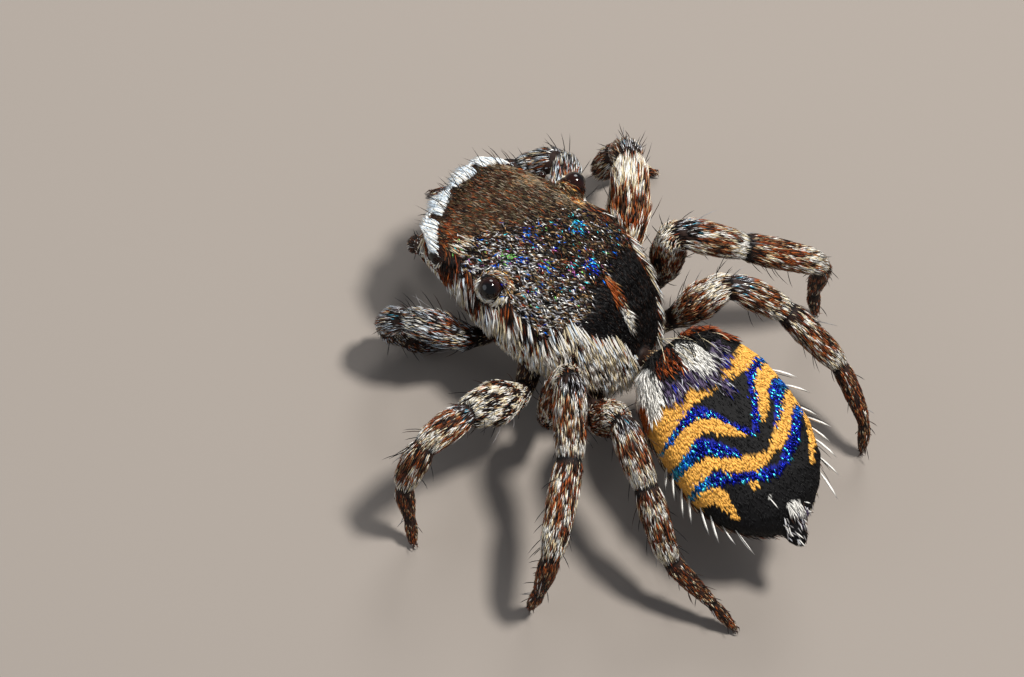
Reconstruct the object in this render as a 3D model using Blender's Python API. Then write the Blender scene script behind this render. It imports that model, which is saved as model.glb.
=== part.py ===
# A male peacock spider, standing still, at life size.
#
# Sizes are in millimetres in the spider's own frame: +X is its left, -Y is the way it faces,
# +Z is up and the floor is z = 0. The finished solids are set to metres at the end.
# Neighbouring pieces keep a gap of 0.03 mm, which suits an animal 4.5 mm long.

import math
import random

import bmesh
import bpy
import numpy as np
from mathutils import Matrix, Vector
from mathutils.bvhtree import BVHTree

METRES = 0.001
GAP = 0.03
JOINT_GAP = 0.04
KNEE_GAP = 0.05
ORIGIN_X = 0.294
ORIGIN_Y = 1.035

# Carapace stations, front to rear: y, half width, top, level of the margin, underside, squareness
CARAPACE_STATIONS = (
    (-1.12, 0.44, 1.17, 1.09, 1.02, 3.0),
    (-1.06, 0.56, 1.20, 0.97, 0.80, 3.4),
    (-0.90, 0.67, 1.27, 0.92, 0.75, 3.2),
    (-0.65, 0.73, 1.36, 0.90, 0.72, 3.0),
    (-0.27, 0.82, 1.48, 0.86, 0.70, 2.7),
    (0.08, 0.87, 1.52, 0.83, 0.69, 2.5),
    (0.40, 0.86, 1.48, 0.81, 0.69, 2.3),
    (0.68, 0.79, 1.36, 0.79, 0.69, 2.2),
    (0.90, 0.67, 1.19, 0.78, 0.69, 2.1),
    (1.06, 0.52, 1.02, 0.77, 0.69, 2.1),
    (1.16, 0.38, 0.90, 0.77, 0.70, 2.1),
    (1.20, 0.26, 0.84, 0.77, 0.72, 2.1),
)
CARAPACE_SIDES = 28

# Sternum with the lip and palp bases, front to rear: y, half width, top, widest level, underside
STERNUM_STATIONS = (
    (-0.58, 0.10, 0.62, 0.54, 0.48, 2.2),
    (-0.50, 0.22, 0.65, 0.54, 0.44, 2.3),
    (-0.30, 0.25, 0.66, 0.54, 0.42, 2.3),
    (-0.12, 0.20, 0.66, 0.54, 0.42, 2.2),
    (0.10, 0.27, 0.66, 0.53, 0.40, 2.2),
    (0.45, 0.30, 0.66, 0.53, 0.39, 2.2),
    (0.80, 0.26, 0.66, 0.53, 0.40, 2.2),
    (1.04, 0.10, 0.64, 0.54, 0.45, 2.2),
)
STERNUM_SIDES = 16

# Eyes: name, x, y, z, radius
EYES = (
    ("front_eye", 0.235, -0.965, 0.975, 0.190),
    ("front_side_eye", 0.560, -0.865, 1.040, 0.105),
    ("small_eye", 0.700, -0.560, 1.180, 0.035),
    ("rear_eye", 0.735, -0.270, 1.340, 0.105),
)

# Swelling of the carapace that carries each rear eye: radius, and shift from the eye's middle
EYE_MOUND_RADIUS = 0.16
EYE_MOUND_SHIFT = (-0.055, 0.0, -0.058)

# Abdomen in its own frame: y rearwards, half width, top, rim level, underside, squareness
ABDOMEN_STATIONS = (
    (-1.00, 0.26, 0.06, -0.08, -0.26, 2.3),
    (-0.93, 0.40, 0.12, -0.06, -0.38, 2.4),
    (-0.74, 0.54, 0.18, -0.04, -0.50, 2.6),
    (-0.42, 0.66, 0.22, -0.02, -0.58, 2.7),
    (-0.05, 0.70, 0.24, 0.00, -0.61, 2.7),
    (0.30, 0.69, 0.22, 0.00, -0.58, 2.7),
    (0.62, 0.60, 0.18, -0.01, -0.49, 2.6),
    (0.84, 0.44, 0.12, -0.03, -0.38, 2.4),
    (0.97, 0.28, 0.04, -0.06, -0.27, 2.2),
    (1.02, 0.16, -0.02, -0.09, -0.20, 2.1),
)
ABDOMEN_SIDES = 28
ABDOMEN_CENTRE = (0.294, 2.292, 1.10)
ABDOMEN_YAW = 15.7
ABDOMEN_PITCH = 11.0
ABDOMEN_ROLL = 14.0

# Leg pairs, front to rear: where the coxa meets the sternum, and where the trochanter ends
COXA_ROOTS = {1: (0.335, -0.02), 2: (0.365, 0.30), 3: (0.365, 0.62), 4: (0.325, 0.93)}
TROCHANTERS = {1: (0.76, -0.14), 2: (0.90, 0.52), 3: (1.02, 0.86), 4: (0.70, 1.18)}
COXA_HEIGHT = 0.52
TROCHANTER_HEIGHT = 0.49
LEG_LENGTHS = {
    1: (0.88, 0.46, 0.38, 0.28, 0.24),
    2: (1.08, 0.60, 0.52, 0.44, 0.30),
    3: (0.98, 0.78, 0.98, 0.52, 0.34),
    4: (0.90, 0.67, 0.80, 0.62, 0.40),
}
LEG_RADII = {
    1: (0.180, 0.145, 0.135, 0.095, 0.075),
    2: (0.215, 0.160, 0.150, 0.105, 0.080),
    3: (0.180, 0.170, 0.160, 0.110, 0.085),
    4: (0.185, 0.160, 0.150, 0.105, 0.080),
}
# Yaw (0 forwards, positive outwards) and pitch of each segment as far as the metatarsus, in degrees,
# then the yaw of the tarsus, whose pitch brings its tip to the floor
LEG_POSES = {
    ("left", 1): ((39, 26), (-28, -68), (-138, -48), (-160, -22), -110),
    ("left", 2): ((74, 32), (78, 7), (100, -64), (-173, -63), 154),
    ("left", 3): ((13, 86), (132, -26), (116, -13), (150, -80), 200),
    ("left", 4): ((125, 66), (152, -18), (161, -40), (191, -30), 191),
    ("right", 1): ((62, -6), (-42, -25), (-62, -17), (-55, -8), -45),
    ("right", 2): ((42, 47), (66, -57), (-14, -80), (112, -22), 150),
    ("right", 3): ((-46, 79), (141, -18), (139, -20), (150, -86), 172),
    ("right", 4): ((149, 72), (152, -21), (172, -26), (196, -32), 196),
}
FOOT_HEIGHT = 0.045
LEG_SIDES = 8
BEND_SPREAD = 0.12

CHELICERA_X = 0.165
CHELICERA_Y = -0.83
CHELICERA_TOP = 0.69
CHELICERA_BOTTOM = 0.34
CHELICERA_RADIUS = 0.125

PALP_JOINTS = ((0.33, -0.56, 0.56), (0.43, -0.80, 0.60), (0.38, -1.02, 0.58), (0.23, -1.13, 0.46))
PALP_TIP = (0.17, -1.15, 0.20)
PALP_RADIUS = 0.075
PALP_BULB_RADIUS = 0.105

PEDICEL_RADIUS = 0.10

# Hair: half width and thickness as a share of it, for a flat lock and for a stiff bristle
SINK = 0.05
LOCK_FLATNESS = 0.45
BRISTLE_WIDTH = 0.013

# White tufts over the front eyes: middle of each across the brow, and the locks in one tuft
BROW_TUFTS = (-0.52, -0.18, 0.18, 0.52)
LOCKS_IN_TUFT = 3
BROW_LENGTH = 0.18
BROW_WIDTH = 0.056
BROW_BRISTLES = (-0.66, -0.35, -0.05, 0.05, 0.35, 0.66)
BROW_BRISTLE_LENGTH = 0.36

# Hair down the sides and rear of the carapace
SIDE_LOCKS = 13
SIDE_REACH = (-0.80, 1.00)
SIDE_LEVELS = (0.95, 1.02)
SIDE_LENGTH = 0.32
SIDE_WIDTH = 0.082
REAR_LOCKS = 8
REAR_HALF_WIDTH = 0.56
REAR_LENGTH = 0.26

# Places on a leg: segment (1 femur to 5 tarsus), place along it, angle round it (90 is the upper side)
LEG_LOCKS = (
    (1, 0.26, 60), (1, 0.26, 140), (1, 0.52, 20), (1, 0.50, 95), (1, 0.52, 165), (1, 0.60, 240),
    (2, 0.30, 90), (2, 0.45, 15), (2, 0.45, 165),
    (3, 0.12, 60), (3, 0.12, 125), (3, 0.46, 10), (3, 0.46, 90), (3, 0.46, 170), (3, 0.50, 270),
    (4, 0.30, 50), (4, 0.30, 150),
)
LEG_BRISTLES = (
    (1, 0.40, 90), (1, 0.62, 60), (2, 0.55, 115), (3, 0.30, 40), (3, 0.30, 150), (3, 0.66, 90),
    (3, 0.70, 215), (4, 0.20, 90), (4, 0.55, 20),
)
LEG_LOCK_LENGTH = 0.20
LEG_LOCK_WIDTH = 0.050
LEG_BRISTLE_LENGTH = 0.26

# Places on the last joint of a palp: along it and the angle round it, then a lock's length and width
PALP_LOCKS = ((0.2, 60), (0.2, 130), (0.45, 20), (0.45, 95), (0.45, 170))
PALP_LOCK = (0.15, 0.03)

# Bristles of the abdomen, in its own frame: places along its rim, and across its front edge
RIM_BRISTLES = (-0.12, 0.10, 0.30, 0.48, 0.64, 0.78)
FRONT_BRISTLES = (-0.42, -0.26, -0.10, 0.06, 0.22, 0.38)
RIM_BRISTLE_LENGTH = 0.30
FRONT_BRISTLE_LENGTH = 0.30
TAIL_LOCKS = 6
TAIL_HALF_WIDTH = 0.24
TAIL_LOCK = (0.17, 0.035)


def lerp(a, b, t):
    return a + (b - a) * t


def heading(yaw, pitch, side=1):
    """Unit direction: yaw 0 forwards, positive towards the given side."""
    flat = math.cos(math.radians(pitch))
    return Vector((
        side * flat * math.sin(math.radians(yaw)),
        -flat * math.cos(math.radians(yaw)),
        math.sin(math.radians(pitch)),
    ))


def material(name, colour, roughness, metallic=0.0):
    made = bpy.data.materials.new(name)
    made.use_nodes = True
    shader = made.node_tree.nodes["Principled BSDF"]
    shader.inputs["Base Color"].default_value = (*colour, 1.0)
    shader.inputs["Roughness"].default_value = roughness
    shader.inputs["Metallic"].default_value = metallic
    return made


def new_object(name, mesh_source):
    """An object in the scene from a bmesh, which is then freed."""
    bmesh.ops.recalc_face_normals(mesh_source, faces=mesh_source.faces)
    mesh = bpy.data.meshes.new(name)
    mesh_source.to_mesh(mesh)
    mesh_source.free()
    made = bpy.data.objects.new(name, mesh)
    bpy.context.scene.collection.objects.link(made)
    return made


def bridged(rings):
    """A closed bmesh through rings of points, with a flat cap at each end."""
    shape = bmesh.new()
    loops = []
    for ring in rings:
        corners = [shape.verts.new(point) for point in ring]
        loops.append([shape.edges.new((a, b)) for a, b in zip(corners, corners[1:] + corners[:1])])
    for near, far in zip(loops, loops[1:]):
        bmesh.ops.bridge_loops(shape, edges=near + far)
    for ends in (loops[0], loops[-1]):
        bmesh.ops.contextual_create(shape, geom=ends)
    return shape


def body_section(station, sides):
    """One cross-section of a body: a superellipse, taller above its widest level than below."""
    y, half_width, top, level, bottom, squareness = station
    points = []
    for i in range(sides):
        angle = 2 * math.pi * i / sides
        across = math.cos(angle)
        upward = math.sin(angle)
        reach = (abs(across) ** squareness + abs(upward) ** squareness) ** (-1 / squareness)
        height = (top - level) if upward > 0 else (level - bottom)
        points.append(Vector((half_width * across * reach, y, level + height * upward * reach)))
    return points


def body(name, stations, sides, frame=Matrix()):
    return new_object(name, bridged([[frame @ p for p in body_section(s, sides)] for s in stations]))


def tree_of(item):
    shape = bmesh.new()
    shape.from_mesh(item.data)
    tree = BVHTree.FromBMesh(shape)
    shape.free()
    return tree


def on_surface(tree, start, direction):
    """Where a ray from outside meets a surface, with the outward normal there."""
    point, normal, _, _ = tree.ray_cast(Vector(start), Vector(direction))
    return point, normal


def ball(name, centre, radius, columns, rows):
    shape = bmesh.new()
    bmesh.ops.create_uvsphere(shape, u_segments=columns, v_segments=rows, radius=radius)
    # The poles look forwards, so that the lens of the eye is even.
    bmesh.ops.rotate(shape, verts=shape.verts, cent=(0, 0, 0), matrix=Matrix.Rotation(math.pi / 2, 3, "X"))
    bmesh.ops.translate(shape, verts=shape.verts, vec=centre)
    return new_object(name, shape)


def cut(item, cutters):
    """Takes the cutters out of the item and removes them."""
    for cutter in cutters:
        change = item.modifiers.new("cut", "BOOLEAN")
        change.operation = "DIFFERENCE"
        change.object = cutter
    apply_modifiers(item)
    for cutter in cutters:
        bpy.data.objects.remove(cutter)


def fuse(item, pieces):
    """Joins the pieces to the item with one Boolean union and removes them."""
    group = bpy.data.collections.new("pieces")
    bpy.context.scene.collection.children.link(group)
    for piece in pieces:
        group.objects.link(piece)
        bpy.context.scene.collection.objects.unlink(piece)
    change = item.modifiers.new("fuse", "BOOLEAN")
    change.operation = "UNION"
    change.operand_type = "COLLECTION"
    change.collection = group
    apply_modifiers(item)
    for piece in pieces:
        bpy.data.objects.remove(piece)
    bpy.data.collections.remove(group)


def swept(points, widths, flatness, across, sides):
    """A closed, tapering bmesh along a few points, wide one way and flat the other."""
    rings = []
    for number, (centre, width) in enumerate(zip(points, widths)):
        near = points[max(0, number - 1)]
        far = points[min(len(points) - 1, number + 1)]
        along = (far - near).normalized()
        thick = along.cross(across).normalized()
        wide = thick.cross(along)
        rings.append([
            centre + width * (math.cos(a) * wide + flatness * math.sin(a) * thick)
            for a in (2 * math.pi * i / sides for i in range(sides))
        ])
    return bridged(rings)


class Hair:
    """Grows locks and bristles on the nodes, clear of every other node."""

    def __init__(self, nodes):
        self.nodes = nodes
        self.trees = {name: tree_of(item) for name, item in nodes.items()}
        self.grown = {name: [] for name in nodes}

    def is_clear(self, host, point, room):
        if point.z < room:
            return False
        for name, tree in self.trees.items():
            if name != host and tree.find_nearest(point, room + GAP)[0] is not None:
                return False
        return True

    def grow(self, host, root, outward, lie, size, rise, curl, bristle=False):
        """One lock or bristle, leaning from outward to lie; it is shortened until it is clear."""
        length, width = size
        length *= random.uniform(0.85, 1.15)
        swing = outward.cross(lie).normalized() * random.uniform(-0.15, 0.15)
        start = (outward * rise + lie + swing).normalized()
        end = (outward * rise * curl + lie + swing).normalized()
        across = start.cross(outward)
        if across.length < 0.1:
            across = start.orthogonal()
        base = root - start * SINK - outward * 0.4 * SINK
        for _ in range(5):
            middle = root + start * length * 0.5
            tip = middle + end * length * 0.5
            spots = (root.lerp(middle, 0.5), middle, middle.lerp(tip, 0.5), tip)
            if all(self.is_clear(host, spot, width) for spot in spots):
                break
            length *= 0.72
        else:
            return
        if bristle:
            shape = swept((base, middle, tip), (width, width * 0.8, width * 0.2), 1.0, across, 3)
        else:
            widths = (width * 0.85, width, width * 0.35)
            shape = swept((base, middle, tip), widths, LOCK_FLATNESS, across, 4)
        self.grown[host].append(new_object("hair", shape))

    def finish(self):
        for name, pieces in self.grown.items():
            if pieces:
                fuse(self.nodes[name], pieces)


def apply_modifiers(item):
    bpy.context.view_layer.update()
    graph = bpy.context.evaluated_depsgraph_get()
    shape = bmesh.new()
    shape.from_object(item, graph)
    item.modifiers.clear()
    keep_largest(shape)
    bmesh.ops.triangulate(shape, faces=shape.faces)
    shape.to_mesh(item.data)
    shape.free()


def keep_largest(shape):
    """Deletes all but the closed surface of the greatest volume."""
    left = set(shape.faces)
    surfaces = []
    while left:
        seed = left.pop()
        surface = {seed}
        front = [seed]
        while front:
            face = front.pop()
            for edge in face.edges:
                for other in edge.link_faces:
                    if other in left:
                        left.remove(other)
                        surface.add(other)
                        front.append(other)
        surfaces.append(surface)
    if len(surfaces) < 2:
        return

    def volume(surface):
        return sum(f.calc_area() * f.calc_center_median().dot(f.normal) for f in surface) / 3

    largest = max(surfaces, key=volume)
    drop = [face for surface in surfaces if surface is not largest for face in surface]
    bmesh.ops.delete(shape, geom=drop, context="FACES")


def smooth_path(joints, spread):
    """A fine path through the joints with rounded bends, and the path's index at each joint."""
    step = 0.01
    points = [Vector(joints[0])]
    marks = [0]
    for a, b in zip(joints, joints[1:]):
        count = max(2, round((Vector(b) - Vector(a)).length / step))
        points += [Vector(a).lerp(Vector(b), i / count) for i in range(1, count + 1)]
        marks.append(len(points) - 1)
    fine = np.array([tuple(p) for p in points])
    reach = int(3 * spread / step)
    kernel = np.exp(-0.5 * (np.arange(-reach, reach + 1) * step / spread) ** 2)
    kernel /= kernel.sum()
    # The ends are drawn out straight before smoothing, so that they stay where they are.
    before = fine[0] - (fine[1] - fine[0]) * np.arange(reach, 0, -1)[:, None]
    after = fine[-1] + (fine[-1] - fine[-2]) * np.arange(1, reach + 1)[:, None]
    drawn = np.vstack([before, fine, after])
    even = np.stack([np.convolve(drawn[:, k], kernel, "valid") for k in range(3)], axis=1)
    return [Vector(p) for p in even], marks


class Limb:
    """A jointed limb: a smooth centre line with a radius along it."""

    def __init__(self, joints, widths, spread):
        self.path, self.marks = smooth_path(joints, spread)
        self.widths = widths
        self.sides = []
        side = Vector((0, 0, 1)).cross(self.direction(0))
        for number in range(len(self.path)):
            along = self.direction(number)
            side = (side - along * side.dot(along)).normalized()
            self.sides.append(side)

    def index(self, segment, t):
        return lerp(self.marks[segment], self.marks[segment + 1], t)

    def point(self, index):
        low = max(0, min(len(self.path) - 2, int(index)))
        return self.path[low].lerp(self.path[low + 1], index - low)

    def direction(self, index):
        return (self.point(index + 1.5) - self.point(index - 1.5)).normalized()

    def frame(self, index):
        """Centre, direction and two cross directions, which turn as little as they can along the limb."""
        along = self.direction(index)
        side = self.sides[max(0, min(len(self.sides) - 1, round(index)))]
        side = (side - along * side.dot(along)).normalized()
        return self.point(index), along, side, side.cross(along)

    def radius(self, segment, t):
        places, sizes = self.widths[segment]
        return float(np.interp(t, places, sizes))

    def tube(self, name, stops, sides, start_gap=0.0, end_gap=0.0):
        """The length between two stops, each a (segment, t), through all the stops."""
        rings = []
        shifts = [start_gap] + [0.0] * (len(stops) - 2) + [-end_gap]
        for (segment, t), shift in zip(stops, shifts):
            centre, along, side, up = self.frame(self.index(segment, t))
            radius = self.radius(segment, t)
            rings.append([
                centre + shift * along + radius * (math.cos(a) * side + math.sin(a) * up)
                for a in (2 * math.pi * (i + 0.5) / sides for i in range(sides))
            ])
        return new_object(name, bridged(rings))


def leg_widths(number):
    """Where each segment swells and narrows, as places along it and radii there."""
    femur, patella, tibia, metatarsus, tarsus = LEG_RADII[number]
    return (
        ((0, 0.5, 1), (0.125, 0.135, 0.115)),
        ((0, 0.15, 0.45, 0.8, 1), (0.115, 0.145, femur, femur * 0.88, patella * 0.82)),
        ((0, 0.35, 0.7, 1), (patella * 0.82, patella, patella * 0.96, patella * 0.84)),
        ((0, 0.3, 0.75, 1), (patella * 0.84, tibia, tibia * 0.92, metatarsus * 1.05)),
        ((0, 0.5, 1), (metatarsus * 1.05, metatarsus, tarsus)),
        ((0, 0.4, 0.8, 1), (tarsus, tarsus, tarsus * 0.85, tarsus * 0.60)),
    )


def leg_joints(side_name, number):
    """From the sternum to the tip of the foot, with the tip at the floor."""
    side = 1 if side_name == "left" else -1
    root_x, root_y = COXA_ROOTS[number]
    end_x, end_y = TROCHANTERS[number]
    joints = [Vector((side * root_x, root_y, COXA_HEIGHT)), Vector((side * end_x, end_y, TROCHANTER_HEIGHT))]
    *turns, tarsus_yaw = LEG_POSES[side_name, number]
    lengths = LEG_LENGTHS[number]
    for (yaw, pitch), length in zip(turns, lengths):
        joints.append(joints[-1] + length * heading(yaw, pitch, side))
    drop = (joints[-1].z - FOOT_HEIGHT) / lengths[-1]
    pitch = -math.degrees(math.asin(max(-1.0, min(1.0, drop))))
    joints.append(joints[-1] + lengths[-1] * heading(tarsus_yaw, pitch, side))
    return joints


def flatten_foot(item):
    """Cuts the sole flat at the floor."""
    shape = bmesh.new()
    shape.from_mesh(item.data)
    everything = list(shape.verts) + list(shape.edges) + list(shape.faces)
    found = bmesh.ops.bisect_plane(shape, geom=everything, plane_co=(0, 0, 0), plane_no=(0, 0, -1), clear_outer=True)
    rim = [e for e in found["geom_cut"] if isinstance(e, bmesh.types.BMEdge)]
    if rim:
        bmesh.ops.holes_fill(shape, edges=rim)
    bmesh.ops.recalc_face_normals(shape, faces=shape.faces)
    shape.to_mesh(item.data)
    shape.free()


def grow_brow(hair):
    """Four white tufts that stand out over the front eyes, with long bristles between them."""
    tree = hair.trees["carapace"]
    for middle in BROW_TUFTS:
        for i in range(LOCKS_IN_TUFT):
            x = middle + BROW_WIDTH * 1.35 * (i - (LOCKS_IN_TUFT - 1) / 2)
            start = (x, -1.60 + 0.5 * x * x, 1.62)
            root, outward = on_surface(tree, start, (0, 0.72, -0.69))
            lie = Vector((0.35 * x, -1.0, 0.12)).normalized()
            hair.grow("carapace", root, outward, lie, (BROW_LENGTH, BROW_WIDTH), 0.5, -0.6)
    for x in BROW_BRISTLES:
        root, outward = on_surface(tree, (x, -1.45 + 0.5 * x * x, 1.75), (0, 0.62, -0.78))
        lie = Vector((0.4 * x, -1.0, 0.35)).normalized()
        hair.grow("carapace", root, outward, lie, (BROW_BRISTLE_LENGTH, BRISTLE_WIDTH), 0.8, 0.3, True)


def grow_sides(hair):
    """Hair that hangs down and back over the margin of the carapace, and down its rear slope."""
    tree = hair.trees["carapace"]
    for side in (1, -1):
        for i in range(SIDE_LOCKS):
            y = lerp(*SIDE_REACH, i / (SIDE_LOCKS - 1))
            level = SIDE_LEVELS[i % 2]
            root, outward = on_surface(tree, (side * 1.6, y, level), (-side, 0, 0))
            lie = Vector((side * 0.10, 0.50, -1.0)).normalized()
            hair.grow("carapace", root, outward, lie, (SIDE_LENGTH, SIDE_WIDTH), 0.26, -0.5)
    for i in range(REAR_LOCKS):
        x = lerp(-REAR_HALF_WIDTH, REAR_HALF_WIDTH, i / (REAR_LOCKS - 1))
        y = 0.98 - 0.55 * x * x
        root, outward = on_surface(tree, (x, y, 2.0), (0, 0, -1))
        lie = Vector((0.3 * x, 1.0, -0.75)).normalized()
        hair.grow("carapace", root, outward, lie, (REAR_LENGTH, SIDE_WIDTH), 0.30, -0.3)


def grow_abdomen(hair, frame):
    """White bristles round the rim, dark ones over the front edge and a tuft at the tail."""
    tree = hair.trees["abdomen"]
    turn = frame.to_3x3()
    size = (RIM_BRISTLE_LENGTH, BRISTLE_WIDTH * 1.1)
    for side in (1, -1):
        for y in RIM_BRISTLES:
            start = frame @ Vector((side * 1.4, y, -0.06))
            root, outward = on_surface(tree, start, turn @ Vector((-side, 0, 0)))
            lie = turn @ Vector((side * 0.25, 0.9, -0.15)).normalized()
            hair.grow("abdomen", root, outward, lie, size, 0.9, 0.6, True)
    size = (FRONT_BRISTLE_LENGTH, BRISTLE_WIDTH)
    for x in FRONT_BRISTLES:
        start = frame @ Vector((x, -1.5, 0.45))
        root, outward = on_surface(tree, start, turn @ Vector((0, 0.92, -0.40)))
        lie = turn @ Vector((0.3 * x, -0.6, 0.8)).normalized()
        hair.grow("abdomen", root, outward, lie, size, 0.6, -0.5, True)
    for i in range(TAIL_LOCKS):
        x = lerp(-TAIL_HALF_WIDTH, TAIL_HALF_WIDTH, i / (TAIL_LOCKS - 1))
        start = frame @ Vector((x, 1.5, 0.10))
        root, outward = on_surface(tree, start, turn @ Vector((0, -0.97, -0.20)))
        lie = turn @ Vector((0.5 * x, 1.0, -0.1)).normalized()
        hair.grow("abdomen", root, outward, lie, TAIL_LOCK, 0.4, 0.2)


def leg_node(name, segment):
    return f"{name}_{'femur' if segment < 2 else 'tibia' if segment < 4 else 'tarsus'}"


def grow_leg(hair, name, limb, side):
    """Locks that lie along the leg towards its foot, and stiff bristles that stand out from it."""
    outer = Vector((side * 0.5, 0.2, 1.0))
    for places, length, width, rise, bristle in (
        (LEG_LOCKS, LEG_LOCK_LENGTH, LEG_LOCK_WIDTH, 0.30, False),
        (LEG_BRISTLES, LEG_BRISTLE_LENGTH, BRISTLE_WIDTH, 0.95, True),
    ):
        for segment, t, angle in places:
            centre, along, _, _ = limb.frame(limb.index(segment, t))
            upper = (outer - along * outer.dot(along)).normalized()
            across = along.cross(upper)
            turn = math.radians(angle + random.uniform(-12, 12))
            outward = math.sin(turn) * upper + math.cos(turn) * across
            root = centre + outward * limb.radius(segment, t) * 0.93
            size = limb.radius(segment, t) / limb.radius(1, 0.45)
            lock = (length * lerp(0.6, 1.0, size), width if bristle else width * lerp(0.4, 1.0, size))
            hair.grow(leg_node(name, segment), root, outward, along, lock, rise, 0.3, bristle)


def grow_palp(hair, name, limb):
    for t, angle in PALP_LOCKS:
        centre, along, _, _ = limb.frame(limb.index(3, t))
        forward = Vector((0, -1, 0.3))
        upper = (forward - along * forward.dot(along)).normalized()
        turn = math.radians(angle)
        outward = math.sin(turn) * upper + math.cos(turn) * along.cross(upper)
        root = centre + outward * limb.radius(3, t) * 0.93
        hair.grow(f"{name}_palp_bulb", root, outward, along, PALP_LOCK, 0.35, 0.4)


def make_leg(side_name, number, skin):
    limb = Limb(leg_joints(side_name, number), leg_widths(number), BEND_SPREAD)
    name = f"{side_name}_leg_{number}"
    half = JOINT_GAP / 2
    knee = KNEE_GAP / 2
    femur_stops = ((0, 0), (0, 0.55), (1, 0.02), (1, 0.18), (1, 0.36), (1, 0.56), (1, 0.75), (1, 1))
    tibia_stops = ((2, 0), (2, 0.48), (2, 0.8), (3, 0), (3, 0.3), (3, 0.62), (3, 1))
    tarsus_stops = ((4, 0), (4, 0.45), (5, 0), (5, 0.4), (5, 0.8), (5, 1))
    femur = limb.tube(f"{name}_femur", femur_stops, LEG_SIDES, 0, knee)
    tibia = limb.tube(f"{name}_tibia", tibia_stops, LEG_SIDES, knee, half)
    tarsus = limb.tube(f"{name}_tarsus", tarsus_stops, LEG_SIDES, half, 0)
    flatten_foot(tarsus)
    for item in (femur, tibia, tarsus):
        item.data.materials.append(skin)
    return limb


def make_chelicera(side_name, finish):
    side = 1 if side_name == "left" else -1
    levels = ((0.0, 0.80), (0.2, 1.0), (0.6, 0.96), (0.9, 0.74), (1.0, 0.52))
    rings = []
    for t, size in levels:
        z = lerp(CHELICERA_TOP, CHELICERA_BOTTOM, t)
        centre = Vector((side * CHELICERA_X, CHELICERA_Y + 0.04 * t, z))
        rings.append([
            centre + CHELICERA_RADIUS * size * Vector((math.cos(a), 1.05 * math.sin(a), 0))
            for a in (2 * math.pi * i / 12 for i in range(12))
        ])
    made = new_object(f"{side_name}_chelicera", bridged(rings))
    made.data.materials.append(finish)


def make_palp(side_name, finish):
    side = 1 if side_name == "left" else -1
    joints = [Vector((side * x, y, z)) for x, y, z in (*PALP_JOINTS, PALP_TIP)]
    arm = PALP_RADIUS
    bulb = PALP_BULB_RADIUS
    widths = (
        ((0, 0.5, 1), (arm * 0.8, arm, arm * 0.92)),
        ((0, 0.5, 1), (arm * 0.92, arm, arm)),
        ((0, 0.5, 1), (arm, arm * 1.05, arm * 0.9)),
        ((0, 0.35, 0.75, 1), (arm * 0.9, bulb, bulb * 0.85, bulb * 0.4)),
    )
    limb = Limb(joints, widths, 0.04)
    half = JOINT_GAP / 2
    arm_stops = ((0, 0), (0, 0.5), (1, 0), (1, 0.5), (2, 0), (2, 0.5), (2, 1))
    bulb_stops = ((3, 0), (3, 0.2), (3, 0.45), (3, 0.75), (3, 1))
    for part_name, stops, gaps in (("arm", arm_stops, (0, half)), ("bulb", bulb_stops, (half, 0))):
        made = limb.tube(f"{side_name}_palp_{part_name}", stops, LEG_SIDES, *gaps)
        made.data.materials.append(finish)
    return limb


def abdomen_frame():
    turn = (
        Matrix.Rotation(math.radians(-ABDOMEN_YAW), 4, "Z")
        @ Matrix.Rotation(math.radians(-ABDOMEN_PITCH), 4, "X")
        @ Matrix.Rotation(math.radians(ABDOMEN_ROLL), 4, "Y")
    )
    return Matrix.Translation(ABDOMEN_CENTRE) @ turn


def make_spinnerets(frame, finish):
    """A short cone of spinning tubes behind and below the abdomen's tip."""
    rings = []
    for t, radius in ((0.0, 0.13), (0.35, 0.12), (0.75, 0.085), (1.0, 0.045)):
        centre = Vector((0, lerp(1.02 + GAP, 1.22, t), lerp(-0.12, -0.15, t)))
        rings.append([
            frame @ (centre + radius * Vector((math.cos(a), 0, 0.8 * math.sin(a))))
            for a in (2 * math.pi * i / 10 for i in range(10))
        ])
    made = new_object("spinnerets", bridged(rings))
    made.data.materials.append(finish)


def make_pedicel(carapace, abdomen, finish):
    """The narrow waist, from the rear of the carapace up to the front of the abdomen."""
    start = Vector((0.0, 1.30, 0.80))
    front, _ = on_surface(tree_of(carapace), start, (0, -1, 0))
    back, _ = on_surface(tree_of(abdomen), start, (-0.02, 0.9, 0.42))
    rings = []
    for t, size in ((0.0, 1.0), (0.5, 0.85), (1.0, 0.8)):
        centre = (front + Vector((0, GAP, 0))).lerp(back - Vector((0, 2.6 * GAP, 0)), t)
        lean = 0.45 * t
        rings.append([
            centre + PEDICEL_RADIUS * size * Vector((math.cos(a), -lean * math.sin(a), 0.7 * math.sin(a)))
            for a in (2 * math.pi * i / 10 for i in range(10))
        ])
    made = new_object("pedicel", bridged(rings))
    made.data.materials.append(finish)


def make_eyes(finish, growth=0.0):
    """The eight round eyes, or with growth the balls that their sockets are cut by."""
    balls = []
    for side_name, side in (("left", 1), ("right", -1)):
        for name, x, y, z, radius in EYES:
            columns = 18 if radius > 0.15 else 12
            rows = 10 if radius > 0.15 else 7
            made = ball(f"{side_name}_{name}", (side * x, y, z), radius + growth, columns, rows)
            made.data.materials.append(finish)
            balls.append(made)
    return balls


def make_eye_mounds():
    """Two swellings that rise to the middle of the rear eyes."""
    _, x, y, z, _ = EYES[-1]
    in_shift, along_shift, up_shift = EYE_MOUND_SHIFT
    return [
        ball("mound", (side * (x + in_shift), y + along_shift, z + up_shift), EYE_MOUND_RADIUS, 12, 7)
        for side in (1, -1)
    ]


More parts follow.
